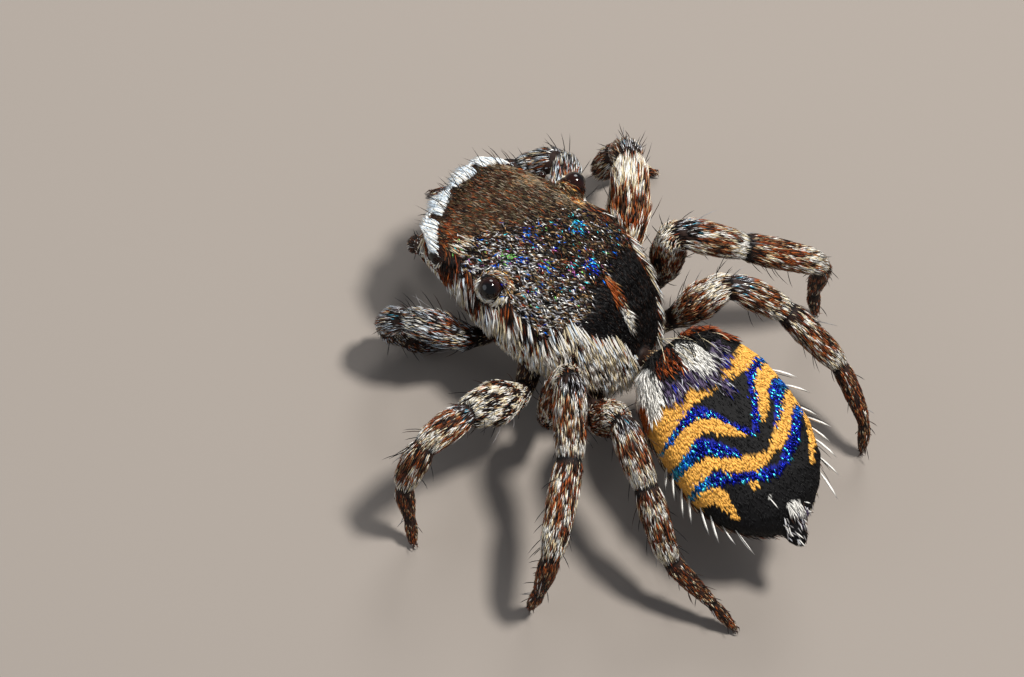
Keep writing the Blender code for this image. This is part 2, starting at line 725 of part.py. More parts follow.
def finish_scene():
    """Sets the solids to metres about the middle of the feet, shades them and drops the loose data."""
    move = Matrix.Scale(METRES, 4) @ Matrix.Translation((-ORIGIN_X, -ORIGIN_Y, 0))
    for item in bpy.context.scene.collection.objects:
        item.data.transform(move)
        item.data.shade_smooth()
        item.data.set_sharp_from_angle(angle=math.radians(50))


def main():
    for item in list(bpy.data.objects):
        bpy.data.objects.remove(item)
    random.seed(7)
    shell = material("carapace", (0.10, 0.055, 0.03), 0.5)
    pale = material("underside", (0.20, 0.15, 0.11), 0.6)
    dark = material("eye", (0.01, 0.006, 0.005), 0.05)
    velvet = material("abdomen", (0.02, 0.02, 0.05), 0.6)
    skin = material("leg", (0.25, 0.16, 0.09), 0.6)

    carapace = body("carapace", CARAPACE_STATIONS, CARAPACE_SIDES)
    carapace.data.materials.append(shell)
    fuse(carapace, make_eye_mounds())
    sternum = body("sternum", STERNUM_STATIONS, STERNUM_SIDES)
    sternum.data.materials.append(pale)
    frame = abdomen_frame()
    abdomen = body("abdomen", ABDOMEN_STATIONS, ABDOMEN_SIDES, frame)
    abdomen.data.materials.append(velvet)
    make_pedicel(carapace, abdomen, pale)
    make_spinnerets(frame, pale)
    make_eyes(dark)
    limbs = {}
    for side_name in ("left", "right"):
        make_chelicera(side_name, pale)
        limbs[side_name, "palp"] = make_palp(side_name, skin)
        for number in (1, 2, 3, 4):
            limbs[side_name, number] = make_leg(side_name, number, skin)

    hair = Hair({item.name: item for item in bpy.context.scene.collection.objects})
    grow_brow(hair)
    grow_sides(hair)
    grow_abdomen(hair, frame)
    for (side_name, number), limb in limbs.items():
        if number == "palp":
            grow_palp(hair, side_name, limb)
        else:
            grow_leg(hair, f"{side_name}_leg_{number}", limb, 1 if side_name == "left" else -1)
    hair.finish()
    cut(carapace, make_eyes(dark, GAP))
    finish_scene()


main()
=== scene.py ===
import math

import bmesh
import bpy
import numpy as np
from mathutils import Matrix, Vector, noise
from mathutils.bvhtree import BVHTree


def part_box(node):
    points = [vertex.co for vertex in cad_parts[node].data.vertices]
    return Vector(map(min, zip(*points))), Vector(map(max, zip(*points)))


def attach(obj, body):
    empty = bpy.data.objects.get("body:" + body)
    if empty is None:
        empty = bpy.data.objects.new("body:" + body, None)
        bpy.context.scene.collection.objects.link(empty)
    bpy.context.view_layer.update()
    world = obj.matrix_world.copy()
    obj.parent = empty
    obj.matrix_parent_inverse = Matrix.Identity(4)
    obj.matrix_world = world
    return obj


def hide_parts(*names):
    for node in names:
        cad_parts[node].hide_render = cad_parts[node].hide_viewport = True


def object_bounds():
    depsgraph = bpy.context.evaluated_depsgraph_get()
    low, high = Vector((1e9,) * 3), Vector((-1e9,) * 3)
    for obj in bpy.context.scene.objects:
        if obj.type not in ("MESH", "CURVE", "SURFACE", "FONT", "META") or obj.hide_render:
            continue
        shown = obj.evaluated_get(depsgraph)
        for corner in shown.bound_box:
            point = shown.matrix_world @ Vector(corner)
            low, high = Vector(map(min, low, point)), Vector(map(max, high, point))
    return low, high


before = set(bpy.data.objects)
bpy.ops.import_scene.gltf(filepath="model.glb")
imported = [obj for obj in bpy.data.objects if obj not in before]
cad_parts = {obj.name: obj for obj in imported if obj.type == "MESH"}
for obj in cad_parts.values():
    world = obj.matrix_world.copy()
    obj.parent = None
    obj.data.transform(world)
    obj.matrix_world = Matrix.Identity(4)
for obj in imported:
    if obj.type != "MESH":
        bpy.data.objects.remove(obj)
cadLow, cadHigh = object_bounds()

rng = np.random.RandomState(11)

# Everything is shaped in millimetres in the spider's own frame: +X is its left, -Y the way it
# faces, +Z up and the floor is 0. toFrame then sets it to metres where the solids are.
eyeValues = {
    "front_eye": (0.235, -0.965, 0.975, 0.190),
    "front_side_eye": (0.560, -0.865, 1.040, 0.105),
    "small_eye": (0.700, -0.560, 1.180, 0.035),
    "rear_eye": (0.735, -0.270, 1.340, 0.105),
}
boxLow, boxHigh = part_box("left_rear_eye")
toFrame = Matrix.Translation((boxLow + boxHigh) / 2 - 0.001 * Vector(eyeValues["rear_eye"][:3]))
toFrame = toFrame @ Matrix.Scale(0.001, 4)

# Stations of a body, front to rear: y, half width, top, widest level, underside, squareness
carapaceValues = {
    "inset": 0.025,
    "sides": 40,
    "stations": (
        (-1.14, 0.36, 1.15, 1.09, 1.05, 2.6),
        (-1.12, 0.44, 1.17, 1.09, 1.02, 3.0),
        (-1.06, 0.56, 1.20, 0.97, 0.80, 3.4),
        (-0.90, 0.67, 1.27, 0.92, 0.75, 3.2),
        (-0.65, 0.73, 1.36, 0.90, 0.72, 3.0),
        (-0.27, 0.82, 1.48, 0.86, 0.70, 2.7),
        (0.08, 0.87, 1.52, 0.83, 0.69, 2.5),
        (0.40, 0.86, 1.48, 0.81, 0.69, 2.3),
        (0.68, 0.79, 1.36, 0.79, 0.69, 2.2),
        (0.90, 0.67, 1.19, 0.78, 0.69, 2.1),
        (1.06, 0.52, 1.02, 0.77, 0.69, 2.1),
        (1.16, 0.38, 0.90, 0.77, 0.70, 2.1),
        (1.21, 0.20, 0.82, 0.77, 0.72, 2.1),
    ),
}
moundValues = {
    "radius": 0.135,
    "shift": (-0.055, 0.0, -0.058),
    "turns": (0.12, 0.5, 0.9, 1.3, 1.7, 2.1, 2.5, 3.0),
}
sternumValues = {
    "inset": 0.01,
    "sides": 20,
    "stations": (
        (-0.58, 0.10, 0.62, 0.54, 0.48, 2.2),
        (-0.50, 0.22, 0.74, 0.54, 0.44, 2.3),
        (-0.30, 0.30, 0.80, 0.54, 0.42, 2.3),
        (0.10, 0.34, 0.80, 0.53, 0.40, 2.2),
        (0.45, 0.36, 0.80, 0.53, 0.39, 2.2),
        (0.80, 0.30, 0.80, 0.53, 0.40, 2.2),
        (1.04, 0.12, 0.74, 0.54, 0.45, 2.2),
    ),
}
abdomenValues = {
    "inset": 0.02,
    "sides": 40,
    "centre": (0.294, 2.292, 1.10),
    "yaw": 15.7,
    "pitch": 11.0,
    "roll": 14.0,
    "bandShift": (0.030, 0.0),
    "stations": (
        (-1.01, 0.16, 0.00, -0.08, -0.16, 2.2),
        (-1.00, 0.26, 0.06, -0.08, -0.26, 2.3),
        (-0.93, 0.40, 0.12, -0.06, -0.38, 2.4),
        (-0.74, 0.54, 0.18, -0.04, -0.50, 2.6),
        (-0.42, 0.66, 0.22, -0.02, -0.58, 2.7),
        (-0.05, 0.70, 0.24, 0.00, -0.61, 2.7),
        (0.30, 0.69, 0.22, 0.00, -0.58, 2.7),
        (0.62, 0.60, 0.18, -0.01, -0.49, 2.6),
        (0.84, 0.44, 0.12, -0.03, -0.38, 2.4),
        (0.97, 0.28, 0.04, -0.06, -0.27, 2.2),
        (1.02, 0.16, -0.02, -0.09, -0.20, 2.1),
    ),
}

# The legs: where each coxa starts and ends, the lengths and radii of the five segments after it,
# and the yaw and pitch of each, with the yaw alone for the tarsus, whose tip rests on the floor
legValues = {
    "inset": 0.018,
    "sides": 16,
    "spread": 0.12,
    "coxaHeight": 0.52,
    "trochanterHeight": 0.49,
    "footHeight": 0.045,
    "roots": {1: (0.335, -0.02), 2: (0.365, 0.30), 3: (0.365, 0.62), 4: (0.325, 0.93)},
    "trochanters": {1: (0.76, -0.14), 2: (0.90, 0.52), 3: (1.02, 0.86), 4: (0.70, 1.18)},
    "lengths": {
        1: (0.88, 0.46, 0.38, 0.28, 0.24),
        2: (1.08, 0.60, 0.52, 0.44, 0.30),
        3: (0.98, 0.78, 0.98, 0.52, 0.34),
        4: (0.90, 0.67, 0.80, 0.62, 0.40),
    },
    "radii": {
        1: (0.180, 0.145, 0.135, 0.095, 0.075),
        2: (0.215, 0.160, 0.150, 0.105, 0.080),
        3: (0.180, 0.170, 0.160, 0.110, 0.085),
        4: (0.185, 0.160, 0.150, 0.105, 0.080),
    },
    "poses": {
        ("left", 1): ((39, 26), (-28, -68), (-138, -48), (-160, -22), -110),
        ("left", 2): ((74, 32), (78, 7), (100, -64), (-173, -63), 154),
        ("left", 3): ((13, 86), (132, -26), (116, -13), (150, -80), 200),
        ("left", 4): ((125, 66), (152, -18), (161, -40), (191, -30), 191),
        ("right", 1): ((62, -6), (-42, -25), (-62, -17), (-55, -8), -45),
        ("right", 2): ((42, 47), (66, -57), (-14, -80), (112, -22), 150),
        ("right", 3): ((-46, 79), (141, -18), (139, -20), (150, -86), 172),
        ("right", 4): ((149, 72), (152, -21), (172, -26), (196, -32), 196),
    },
}
palpValues = {
    "joints": ((0.33, -0.56, 0.56), (0.43, -0.80, 0.60), (0.38, -1.02, 0.58), (0.23, -1.13, 0.46)),
    "tip": (0.17, -1.15, 0.20),
    "radius": 0.075,
    "bulb": 0.105,
    "sides": 14,
    "spread": 0.04,
    "inset": 0.012,
}
cheliceraValues = {
    "x": 0.165,
    "y": -0.83,
    "radius": 0.117,
    "levels": ((0.78, 0.80), (0.62, 1.0), (0.50, 0.97), (0.40, 0.78), (0.345, 0.50)),
}


def heading(yaw, pitch, side):
    # Unit direction: yaw 0 forwards, positive towards the given side
    turn, climb = math.radians(yaw), math.radians(pitch)
    flat = math.cos(climb)
    return np.array((side * flat * math.sin(turn), -flat * math.cos(turn), math.sin(climb)))


def unit(vectors):
    size = np.linalg.norm(vectors, axis=-1, keepdims=True)
    return vectors / np.maximum(size, 1e-9)


def circle(centre, radius, across, upward, sides):
    turns = (2 * math.pi * i / sides for i in range(sides))
    return [Vector(centre + radius * (math.cos(a) * across + math.sin(a) * upward)) for a in turns]


limbValues = {"step": 0.01, "ringEvery": 5, "pinch": 0.13, "pinchReach": 0.035}


class Limb:
    # A smooth centre line through the joints, with a direction and a radius all along it
    def __init__(self, joints, widths, spread, inset):
        step = limbValues["step"]
        points = [joints[0]]
        self.marks = [0]
        for a, b in zip(joints, joints[1:]):
            count = max(2, round(float(np.linalg.norm(b - a)) / step))
            points += [a + (b - a) * i / count for i in range(1, count + 1)]
            self.marks.append(len(points) - 1)
        fine = np.array(points)
        reach = int(3 * spread / step)
        kernel = np.exp(-0.5 * (np.arange(-reach, reach + 1) * step / spread) ** 2)
        kernel /= kernel.sum()
        before = fine[0] - (fine[1] - fine[0]) * np.arange(reach, 0, -1)[:, None]
        after = fine[-1] + (fine[-1] - fine[-2]) * np.arange(1, reach + 1)[:, None]
        drawn = np.vstack([before, fine, after])
        self.path = np.stack([np.convolve(drawn[:, k], kernel, "valid") for k in range(3)], axis=1)
        self.along = unit(np.gradient(self.path, axis=0))
        places = np.arange(len(self.path))
        found = np.searchsorted(self.marks, places, "right") - 1
        self.segment = np.clip(found, 0, len(self.marks) - 2)
        starts = np.array(self.marks)[self.segment]
        ends = np.array(self.marks)[self.segment + 1]
        self.share = (places - starts) / (ends - starts)
        self.radius = np.array([
            np.interp(t, widths[s][0], widths[s][1]) for s, t in zip(self.segment, self.share)
        ]) - inset
        for mark in self.marks[2:-1]:  # each joint is a little narrower than its neighbours
            away = (places - mark) * step / limbValues["pinchReach"]
            self.radius *= 1 - limbValues["pinch"] * np.exp(-away ** 2)

    def rings(self, sides, rootStep):
        side = np.cross((0, 0, 1), self.along[0])
        made = []
        for number in range(len(self.path)):
            along = self.along[number]
            side = unit(side - along * side.dot(along))
            if number % limbValues["ringEvery"] and number != len(self.path) - 1:
                continue
            centre = self.path[number] - (along * rootStep if number == 0 else 0)
            made.append(circle(centre, self.radius[number], side, np.cross(side, along), sides))
        return made


def legWidths(number):
    femur, patella, tibia, metatarsus, tarsus = legValues["radii"][number]
    return (
        ((0, 0.5, 1), (0.125, 0.135, 0.115)),
        ((0, 0.15, 0.45, 0.8, 1), (0.115, 0.145, femur, femur * 0.88, patella * 0.82)),
        ((0, 0.35, 0.7, 1), (patella * 0.82, patella, patella * 0.96, patella * 0.84)),
        ((0, 0.3, 0.75, 1), (patella * 0.84, tibia, tibia * 0.92, metatarsus * 1.05)),
        ((0, 0.5, 1), (metatarsus * 1.05, metatarsus, tarsus)),
        ((0, 0.4, 0.8, 1), (tarsus, tarsus, tarsus * 0.85, tarsus * 0.60)),
    )


def makeLeg(sideName, number):
    side = 1 if sideName == "left" else -1
    rootX, rootY = legValues["roots"][number]
    endX, endY = legValues["trochanters"][number]
    joints = [
        np.array((side * rootX, rootY, legValues["coxaHeight"])),
        np.array((side * endX, endY, legValues["trochanterHeight"])),
    ]
    *turns, tarsusYaw = legValues["poses"][sideName, number]
    lengths = legValues["lengths"][number]
    for (yaw, pitch), length in zip(turns, lengths):
        joints.append(joints[-1] + length * heading(yaw, pitch, side))
    drop = (joints[-1][2] - legValues["footHeight"]) / lengths[-1]
    pitch = -math.degrees(math.asin(max(-1.0, min(1.0, drop))))
    joints.append(joints[-1] + lengths[-1] * heading(tarsusYaw, pitch, side))
    return Limb(joints, legWidths(number), legValues["spread"], legValues["inset"])


def makePalp(side):
    joints = [np.array((side * x, y, z)) for x, y, z in (*palpValues["joints"], palpValues["tip"])]
    arm, bulb = palpValues["radius"], palpValues["bulb"]
    widths = (
        ((0, 0.5, 1), (arm * 0.8, arm, arm * 0.92)),
        ((0, 0.5, 1), (arm * 0.92, arm, arm)),
        ((0, 0.5, 1), (arm, arm * 1.05, arm * 0.9)),
        ((0, 0.35, 0.75, 1), (arm * 0.9, bulb, bulb * 0.85, bulb * 0.4)),
    )
    return Limb(joints, widths, palpValues["spread"], palpValues["inset"])


abdomenFrame = (
    Matrix.Translation(abdomenValues["centre"])
    @ Matrix.Rotation(math.radians(-abdomenValues["yaw"]), 4, "Z")
    @ Matrix.Rotation(math.radians(-abdomenValues["pitch"]), 4, "X")
    @ Matrix.Rotation(math.radians(abdomenValues["roll"]), 4, "Y")
)
abdomenTurn = np.array(abdomenFrame.to_3x3())
abdomenPlace = np.array(abdomenFrame.translation)


def bodyRings(values, place=Matrix()):
    inset = values["inset"]
    rings = []
    for y, halfWidth, top, level, bottom, squareness in values["stations"]:
        ring = []
        for i in range(values["sides"]):
            angle = 2 * math.pi * i / values["sides"]
            across, upward = math.cos(angle), math.sin(angle)
            reach = (abs(across) ** squareness + abs(upward) ** squareness) ** (-1 / squareness)
            height = (top - level if upward > 0 else level - bottom) - inset
            x, z = (halfWidth - inset) * across * reach, level + height * upward * reach
            ring.append(place @ Vector((x, y, z)))
        rings.append(ring)
    return rings


def placed(name, data):
    # A new object in the scene for a mesh, a light or a camera
    item = bpy.data.objects.new(name, data)
    bpy.context.scene.collection.objects.link(item)
    return item


def meshOf(shape, name):
    mesh = bpy.data.meshes.new(name)
    shape.to_mesh(mesh)
    shape.free()
    return mesh


def loft(shape, rings):
    # A closed surface through rings of points
    loops = []
    for ring in rings:
        corners = [shape.verts.new(point) for point in ring]
        loops.append([shape.edges.new(pair) for pair in zip(corners, corners[1:] + corners[:1])])
    for near, far in zip(loops, loops[1:]):
        bmesh.ops.bridge_loops(shape, edges=near + far)
    for ends in (loops[0], loops[-1]):
        bmesh.ops.contextual_create(shape, geom=ends)


# The skin: every part is lofted on its own, then all are made one surface
skinShape = bmesh.new()
parts = []
partEnds = []
limbs = {}


def addPart(name, rings):
    loft(skinShape, rings)
    parts.append(name)
    partEnds.append(len(skinShape.faces))


def roundRing(centre, radius, flatness, lean, sides=16):
    return [
        centre + radius * Vector((math.cos(a), -lean * math.sin(a), flatness * math.sin(a)))
        for a in (2 * math.pi * i / sides for i in range(sides))
    ]


# Centres along the waist, and y, z and radius along the spinnerets in the abdomen's own frame
waistValues = {
    "centres": ((0.0, 1.05, 0.80), (0.02, 1.20, 0.82), (0.05, 1.34, 0.94), (0.07, 1.48, 1.03)),
    "radius": 0.095,
}
tailValues = (
    (0.90, -0.10, 0.12),
    (1.04, -0.12, 0.125),
    (1.12, -0.135, 0.105),
    (1.18, -0.145, 0.075),
    (1.215, -0.15, 0.04),
)

addPart("carapace", bodyRings(carapaceValues))
addPart("sternum", bodyRings(sternumValues))
addPart("abdomen", bodyRings(abdomenValues, abdomenFrame))
addPart("pedicel", [
    roundRing(Vector(point), waistValues["radius"], 0.75, 0.4) for point in waistValues["centres"]
])
addPart("spinnerets", [
    [abdomenFrame @ point for point in roundRing(Vector((0, y, z)), radius, 0.8, 0)]
    for y, z, radius in tailValues
])
for sideName, side in (("left", 1), ("right", -1)):
    x, y, z = np.array(eyeValues["rear_eye"][:3]) + np.array(moundValues["shift"])
    addPart(sideName + "_mound", [
        roundRing(
            Vector((side * x, y, z)) - Vector((0, math.cos(turn) * moundValues["radius"], 0)),
            moundValues["radius"] * math.sin(turn), 1, 0, 20)
        for turn in moundValues["turns"]
    ])
    rings = []
    for level, size in cheliceraValues["levels"]:
        lean = 0.04 * (0.69 - level) / 0.35
        centre = Vector((side * cheliceraValues["x"], cheliceraValues["y"] + lean, level))
        rings.append(roundRing(centre, cheliceraValues["radius"] * size, 0, 1.05))
    addPart(sideName + "_chelicera", rings)
    limbs[sideName + "_palp"] = makePalp(side)
    addPart(sideName + "_palp", limbs[sideName + "_palp"].rings(palpValues["sides"], 0.12))
    for number in (1, 2, 3, 4):
        name = f"{sideName}_leg_{number}"
        limbs[name] = makeLeg(sideName, number)
        addPart(name, limbs[name].rings(legValues["sides"], 0.14))
for vert in skinShape.verts:
    vert.co.z = max(vert.co.z, 0.012)
bmesh.ops.recalc_face_normals(skinShape, faces=skinShape.faces)
sourceTree = BVHTree.FromBMesh(skinShape)
print("skin parts lofted", len(parts))

skinValues = {"voxel": 0.026, "smoothing": 5}


def madeMesh(item):
    bpy.context.view_layer.update()
    return bpy.data.meshes.new_from_object(item.evaluated_get(bpy.context.evaluated_depsgraph_get()))


def readRows(rows, field, kind):
    found = np.empty(len(rows) * 3, kind)
    rows.foreach_get(field, found)
    return found.reshape(-1, 3)


rough = meshOf(skinShape, "rough")
mould = placed("mould", rough)
remesh = mould.modifiers.new("remesh", "REMESH")
remesh.mode = "VOXEL"
remesh.voxel_size = skinValues["voxel"]
smooth = mould.modifiers.new("smooth", "SMOOTH")
smooth.factor = 0.5
smooth.iterations = skinValues["smoothing"]
skinMesh = madeMesh(mould)
skinMesh.name = "skin"
bpy.data.objects.remove(mould)
bpy.data.meshes.remove(rough)
skinMesh.calc_loop_triangles()
triangles = readRows(skinMesh.loop_triangles, "vertices", np.int32)
skinPoints = readRows(skinMesh.vertices, "co", np.float32).astype(float)
skinNormals = readRows(skinMesh.vertices, "normal", np.float32).astype(float)
skinTree = BVHTree.FromPolygons(skinPoints.tolist(), triangles.tolist())
nearest = [sourceTree.find_nearest(Vector(point))[2] for point in skinPoints]
skinPart = np.searchsorted(partEnds, np.array(nearest), "right")
for number, name in enumerate(parts):
    if name.endswith("mound"):
        skinPart[skinPart == number] = parts.index("carapace")
print("skin made", len(triangles), "triangles")


def tone(*channels):
    # A colour in sRGB, as the eye reads it, made linear
    return np.array([((c + 0.055) / 1.055) ** 2.4 if c > 0.04045 else c / 12.92 for c in channels])


tones = {
    "black": tone(0.045, 0.035, 0.035),
    "velvet": tone(0.03, 0.025, 0.03),
    "darkBrown": tone(0.20, 0.12, 0.08),
    "brown": tone(0.40, 0.23, 0.13),
    "orange": tone(0.70, 0.36, 0.15),
    "tan": tone(0.66, 0.52, 0.36),
    "olive": tone(0.36, 0.32, 0.22),
    "umber": tone(0.30, 0.20, 0.13),
    "beige": tone(0.62, 0.57, 0.49),
    "cream": tone(0.90, 0.84, 0.70),
    "white": tone(0.96, 0.95, 0.92),
    "coolWhite": tone(0.86, 0.91, 0.95),
    "grey": tone(0.55, 0.54, 0.54),
    "silver": tone(0.78, 0.78, 0.80),
    "gold": tone(0.97, 0.72, 0.33),
    "deepBlue": tone(0.08, 0.14, 0.66),
    "azure": tone(0.10, 0.45, 0.92),
    "turquoise": tone(0.25, 0.72, 0.85),
    "plum": tone(0.36, 0.31, 0.42),
    "rust": tone(0.52, 0.22, 0.09),
    "cyan": tone(0.30, 0.85, 0.90),
    "green": tone(0.52, 0.80, 0.42),
    "magenta": tone(0.72, 0.42, 0.66),
    "paleSkin": tone(0.55, 0.45, 0.36),
    "darkSkin": tone(0.14, 0.09, 0.07),
}


def pick(count, shares):
    # One tone for each of count hairs, drawn by the shares of each named tone
    names = list(shares)
    weights = np.array([shares[name] for name in names], float)
    chosen = rng.choice(len(names), size=count, p=weights / weights.sum())
    return np.array([tones[name] for name in names])[chosen]


def dye(colour, on, shares):
    # New tones for the hairs that are on
    colour[on] = pick(on.sum(), shares)


def cloud(points, size, seed):
    # Smooth noise from about -1 to 1, with features of the given size
    shift = Vector((seed, 0, 0))
    return np.array([noise.noise(Vector(point) / size + shift) for point in points]) * 1.6


def nearLine(spots, line):
    # Distance from each spot to a drawn line, less the line's own half width there
    best = np.full(len(spots), 9.0)
    for (ax, ay, aw), (bx, by, bw) in zip(line, line[1:]):
        a = np.array((ax, ay))
        d = np.array((bx - ax, by - ay))
        t = np.clip(((spots - a) @ d) / max(1e-9, d @ d), 0, 1)
        gap = np.linalg.norm(spots - a - t[:, None] * d, axis=1) - (aw + (bw - aw) * t)
        best = np.minimum(best, gap)
    return best


# Bands of the abdomen seen from above, in its own frame: x, y, half width. Later ones lie on top.
bandValues = (
    ("plum", ((0.11, -0.67, 0.07), (-0.01, -0.61, 0.10), (-0.09, -0.52, 0.09), (-0.13, -0.42, 0.05))),
    ("plum", ((-0.29, -0.74, 0.06), (-0.23, -0.64, 0.07))),
    ("plum", ((0.37, -0.72, 0.07), (0.36, -0.60, 0.06), (0.25, -0.63, 0.05))),
    ("rust", ((-0.12, -1.02, 0.05), (-0.27, -0.99, 0.05), (-0.41, -0.90, 0.05), (-0.45, -0.78, 0.05))),
    ("rust", ((0.30, -0.85, 0.04), (0.12, -0.93, 0.05), (0.09, -0.80, 0.04))),
    ("silver", ((-0.53, -0.81, 0.05), (-0.59, -0.74, 0.07), (-0.64, -0.62, 0.04))),
    ("white", ((0.52, -0.90, 0.08), (0.46, -0.85, 0.12), (0.51, -0.72, 0.11), (0.60, -0.58, 0.07))),
    ("orange", ((0.57, -0.71, 0.02), (0.65, -0.53, 0.03))),
    ("white", ((0.00, -0.90, 0.07), (-0.04, -0.80, 0.12), (-0.07, -0.71, 0.08))),
    ("deepBlue", ((-0.09, 0.10, 0.010), (-0.02, 0.01, 0.015), (0.05, -0.08, 0.015), (0.13, -0.22, 0.03),
                  (0.20, -0.32, 0.045), (0.29, -0.36, 0.05), (0.41, -0.36, 0.05), (0.52, -0.31, 0.045),
                  (0.61, -0.28, 0.04), (0.71, -0.22, 0.045))),
    ("deepBlue", ((-0.62, -0.38, 0.045), (-0.50, -0.43, 0.075), (-0.41, -0.36, 0.06), (-0.33, -0.24, 0.04),
                  (-0.25, -0.11, 0.03), (-0.18, 0.01, 0.022), (-0.09, 0.10, 0.015))),
    ("deepBlue", ((0.15, 0.18, 0.02), (0.24, 0.09, 0.045), (0.32, 0.00, 0.06), (0.41, -0.08, 0.065),
                  (0.54, -0.05, 0.06), (0.65, -0.01, 0.055), (0.73, 0.03, 0.05))),
    ("deepBlue", ((-0.65, -0.11, 0.055), (-0.54, -0.14, 0.06), (-0.47, -0.08, 0.055), (-0.46, 0.01, 0.045),
                  (-0.36, 0.12, 0.03), (-0.29, 0.19, 0.02))),
    ("deepBlue", ((-0.10, 0.51, 0.022), (0.03, 0.47, 0.042), (0.17, 0.41, 0.04), (0.29, 0.34, 0.04),
                  (0.41, 0.27, 0.05), (0.54, 0.23, 0.055), (0.66, 0.24, 0.045))),
    ("deepBlue", ((-0.62, 0.14, 0.045), (-0.51, 0.21, 0.05), (-0.40, 0.32, 0.045), (-0.31, 0.39, 0.042),
                  (-0.21, 0.46, 0.035), (-0.09, 0.51, 0.02))),
    ("gold", ((-0.02, -0.46, 0.03), (0.14, -0.50, 0.05), (0.31, -0.50, 0.07), (0.49, -0.46, 0.095),
              (0.63, -0.40, 0.10), (0.72, -0.33, 0.08))),
    ("gold", ((-0.16, -0.52, 0.04), (-0.26, -0.51, 0.06), (-0.40, -0.52, 0.075), (-0.51, -0.56, 0.075),
              (-0.60, -0.54, 0.06), (-0.69, -0.44, 0.05), (-0.74, -0.34, 0.035))),
    ("gold", ((0.02, 0.05, 0.02), (0.11, -0.06, 0.05), (0.17, -0.16, 0.06), (0.29, -0.24, 0.065),
              (0.43, -0.23, 0.07), (0.54, -0.19, 0.075), (0.67, -0.15, 0.08), (0.74, -0.13, 0.07))),
    ("gold", ((0.71, -0.18, 0.03), (0.77, -0.07, 0.03), (0.78, 0.01, 0.03))),
    ("gold", ((-0.78, -0.12, 0.05), (-0.72, -0.25, 0.06), (-0.56, -0.32, 0.07), (-0.45, -0.28, 0.07),
              (-0.37, -0.18, 0.055), (-0.31, -0.06, 0.045), (-0.23, 0.02, 0.02))),
    ("gold", ((-0.06, 0.34, 0.03), (0.09, 0.32, 0.06), (0.22, 0.25, 0.06), (0.33, 0.16, 0.045),
              (0.41, 0.10, 0.045), (0.52, 0.10, 0.075), (0.64, 0.11, 0.08), (0.74, 0.15, 0.07))),
    ("gold", ((-0.13, 0.32, 0.02), (-0.23, 0.29, 0.055), (-0.36, 0.19, 0.055), (-0.49, 0.07, 0.055),
              (-0.64, 0.00, 0.065), (-0.71, 0.08, 0.06), (-0.67, 0.21, 0.055), (-0.58, 0.40, 0.04),
              (-0.50, 0.50, 0.025), (-0.41, 0.62, 0.01))),
    ("gold", ((0.66, 0.33, 0.05), (0.54, 0.36, 0.07), (0.50, 0.44, 0.055), (0.49, 0.52, 0.03),
              (0.48, 0.64, 0.02))),
    ("gold", ((0.22, 0.47, 0.015), (0.18, 0.48, 0.028), (0.13, 0.48, 0.015))),
    ("white", ((0.115, 0.68, 0.012), (0.125, 0.68, 0.012))),
    ("white", ((-0.08, 0.88, 0.04), (-0.02, 0.86, 0.04))),
)
kinds = ("velvet", "gold", "deepBlue", "white", "plum", "rust", "silver", "orange")


def abdomenKinds(local, wobble):
    # The kind of coat at places of the abdomen's own frame, as a number in kinds
    spots = local[:, :2] + np.array(abdomenValues["bandShift"])
    spots[:, 0] += wobble * 0.6
    made = np.zeros(len(spots), int)
    for name, line in bandValues:
        made[nearLine(spots, line) + wobble < 0] = kinds.index(name)
    return made


def abdomenBase(local, wobble):
    # Colour of the coat of the abdomen, skin and scales alike
    kind = abdomenKinds(local, wobble)
    colour = np.array([tones[name] for name in kinds])[kind]
    outward = np.clip((np.abs(local[:, 0] + 0.05) - 0.50) / 0.26, 0, 0.8)[:, None]
    blue = outward * tones["turquoise"] + (1 - outward) * tones["deepBlue"]
    middle = np.clip(1 - np.abs(outward - 0.45) / 0.45, 0, 1)
    blue = middle * tones["azure"] + (1 - middle) * blue
    colour = np.where((kind == kinds.index("deepBlue"))[:, None], blue, colour)
    rim = np.interp(local[:, 1], *np.array(abdomenValues["stations"])[:, [0, 3]].T)
    drop = rim - local[:, 2] + wobble * 2
    side = np.clip((drop - 0.10) / 0.06, 0, 1)[:, None]
    belly = np.clip((drop - 0.34) / 0.10, 0, 1)[:, None]
    flank = 0.35 * tones["brown"] + 0.65 * tones["darkBrown"]
    under = tones["tan"] * 0.6
    colour = colour * (1 - side) + flank * side
    return colour * (1 - belly) + under * belly, np.where(side[:, 0] > 0.5, -1, kind)


def scatter(chosen, density, seed):
    # Random places on the parts named, so many to the square millimetre
    draw = np.random.RandomState(seed)
    wanted = np.isin(skinPart[triangles[:, 0]], [parts.index(name) for name in chosen])
    faces = triangles[wanted]
    a, b, c = (skinPoints[faces[:, k]] for k in range(3))
    areas = np.linalg.norm(np.cross(b - a, c - a), axis=1) / 2
    count = int(areas.sum() * density)
    found = np.searchsorted(np.cumsum(areas), draw.rand(count) * areas.sum())
    u, v = draw.rand(count), draw.rand(count)
    over = u + v > 1
    u[over], v[over] = 1 - u[over], 1 - v[over]
    corners = faces[found]
    weights = np.stack([1 - u - v, u, v], axis=1)[:, :, None]
    points = (skinPoints[corners] * weights).sum(1)
    normals = unit((skinNormals[corners] * weights).sum(1))
    return points, normals, skinPart[corners[:, 0]]


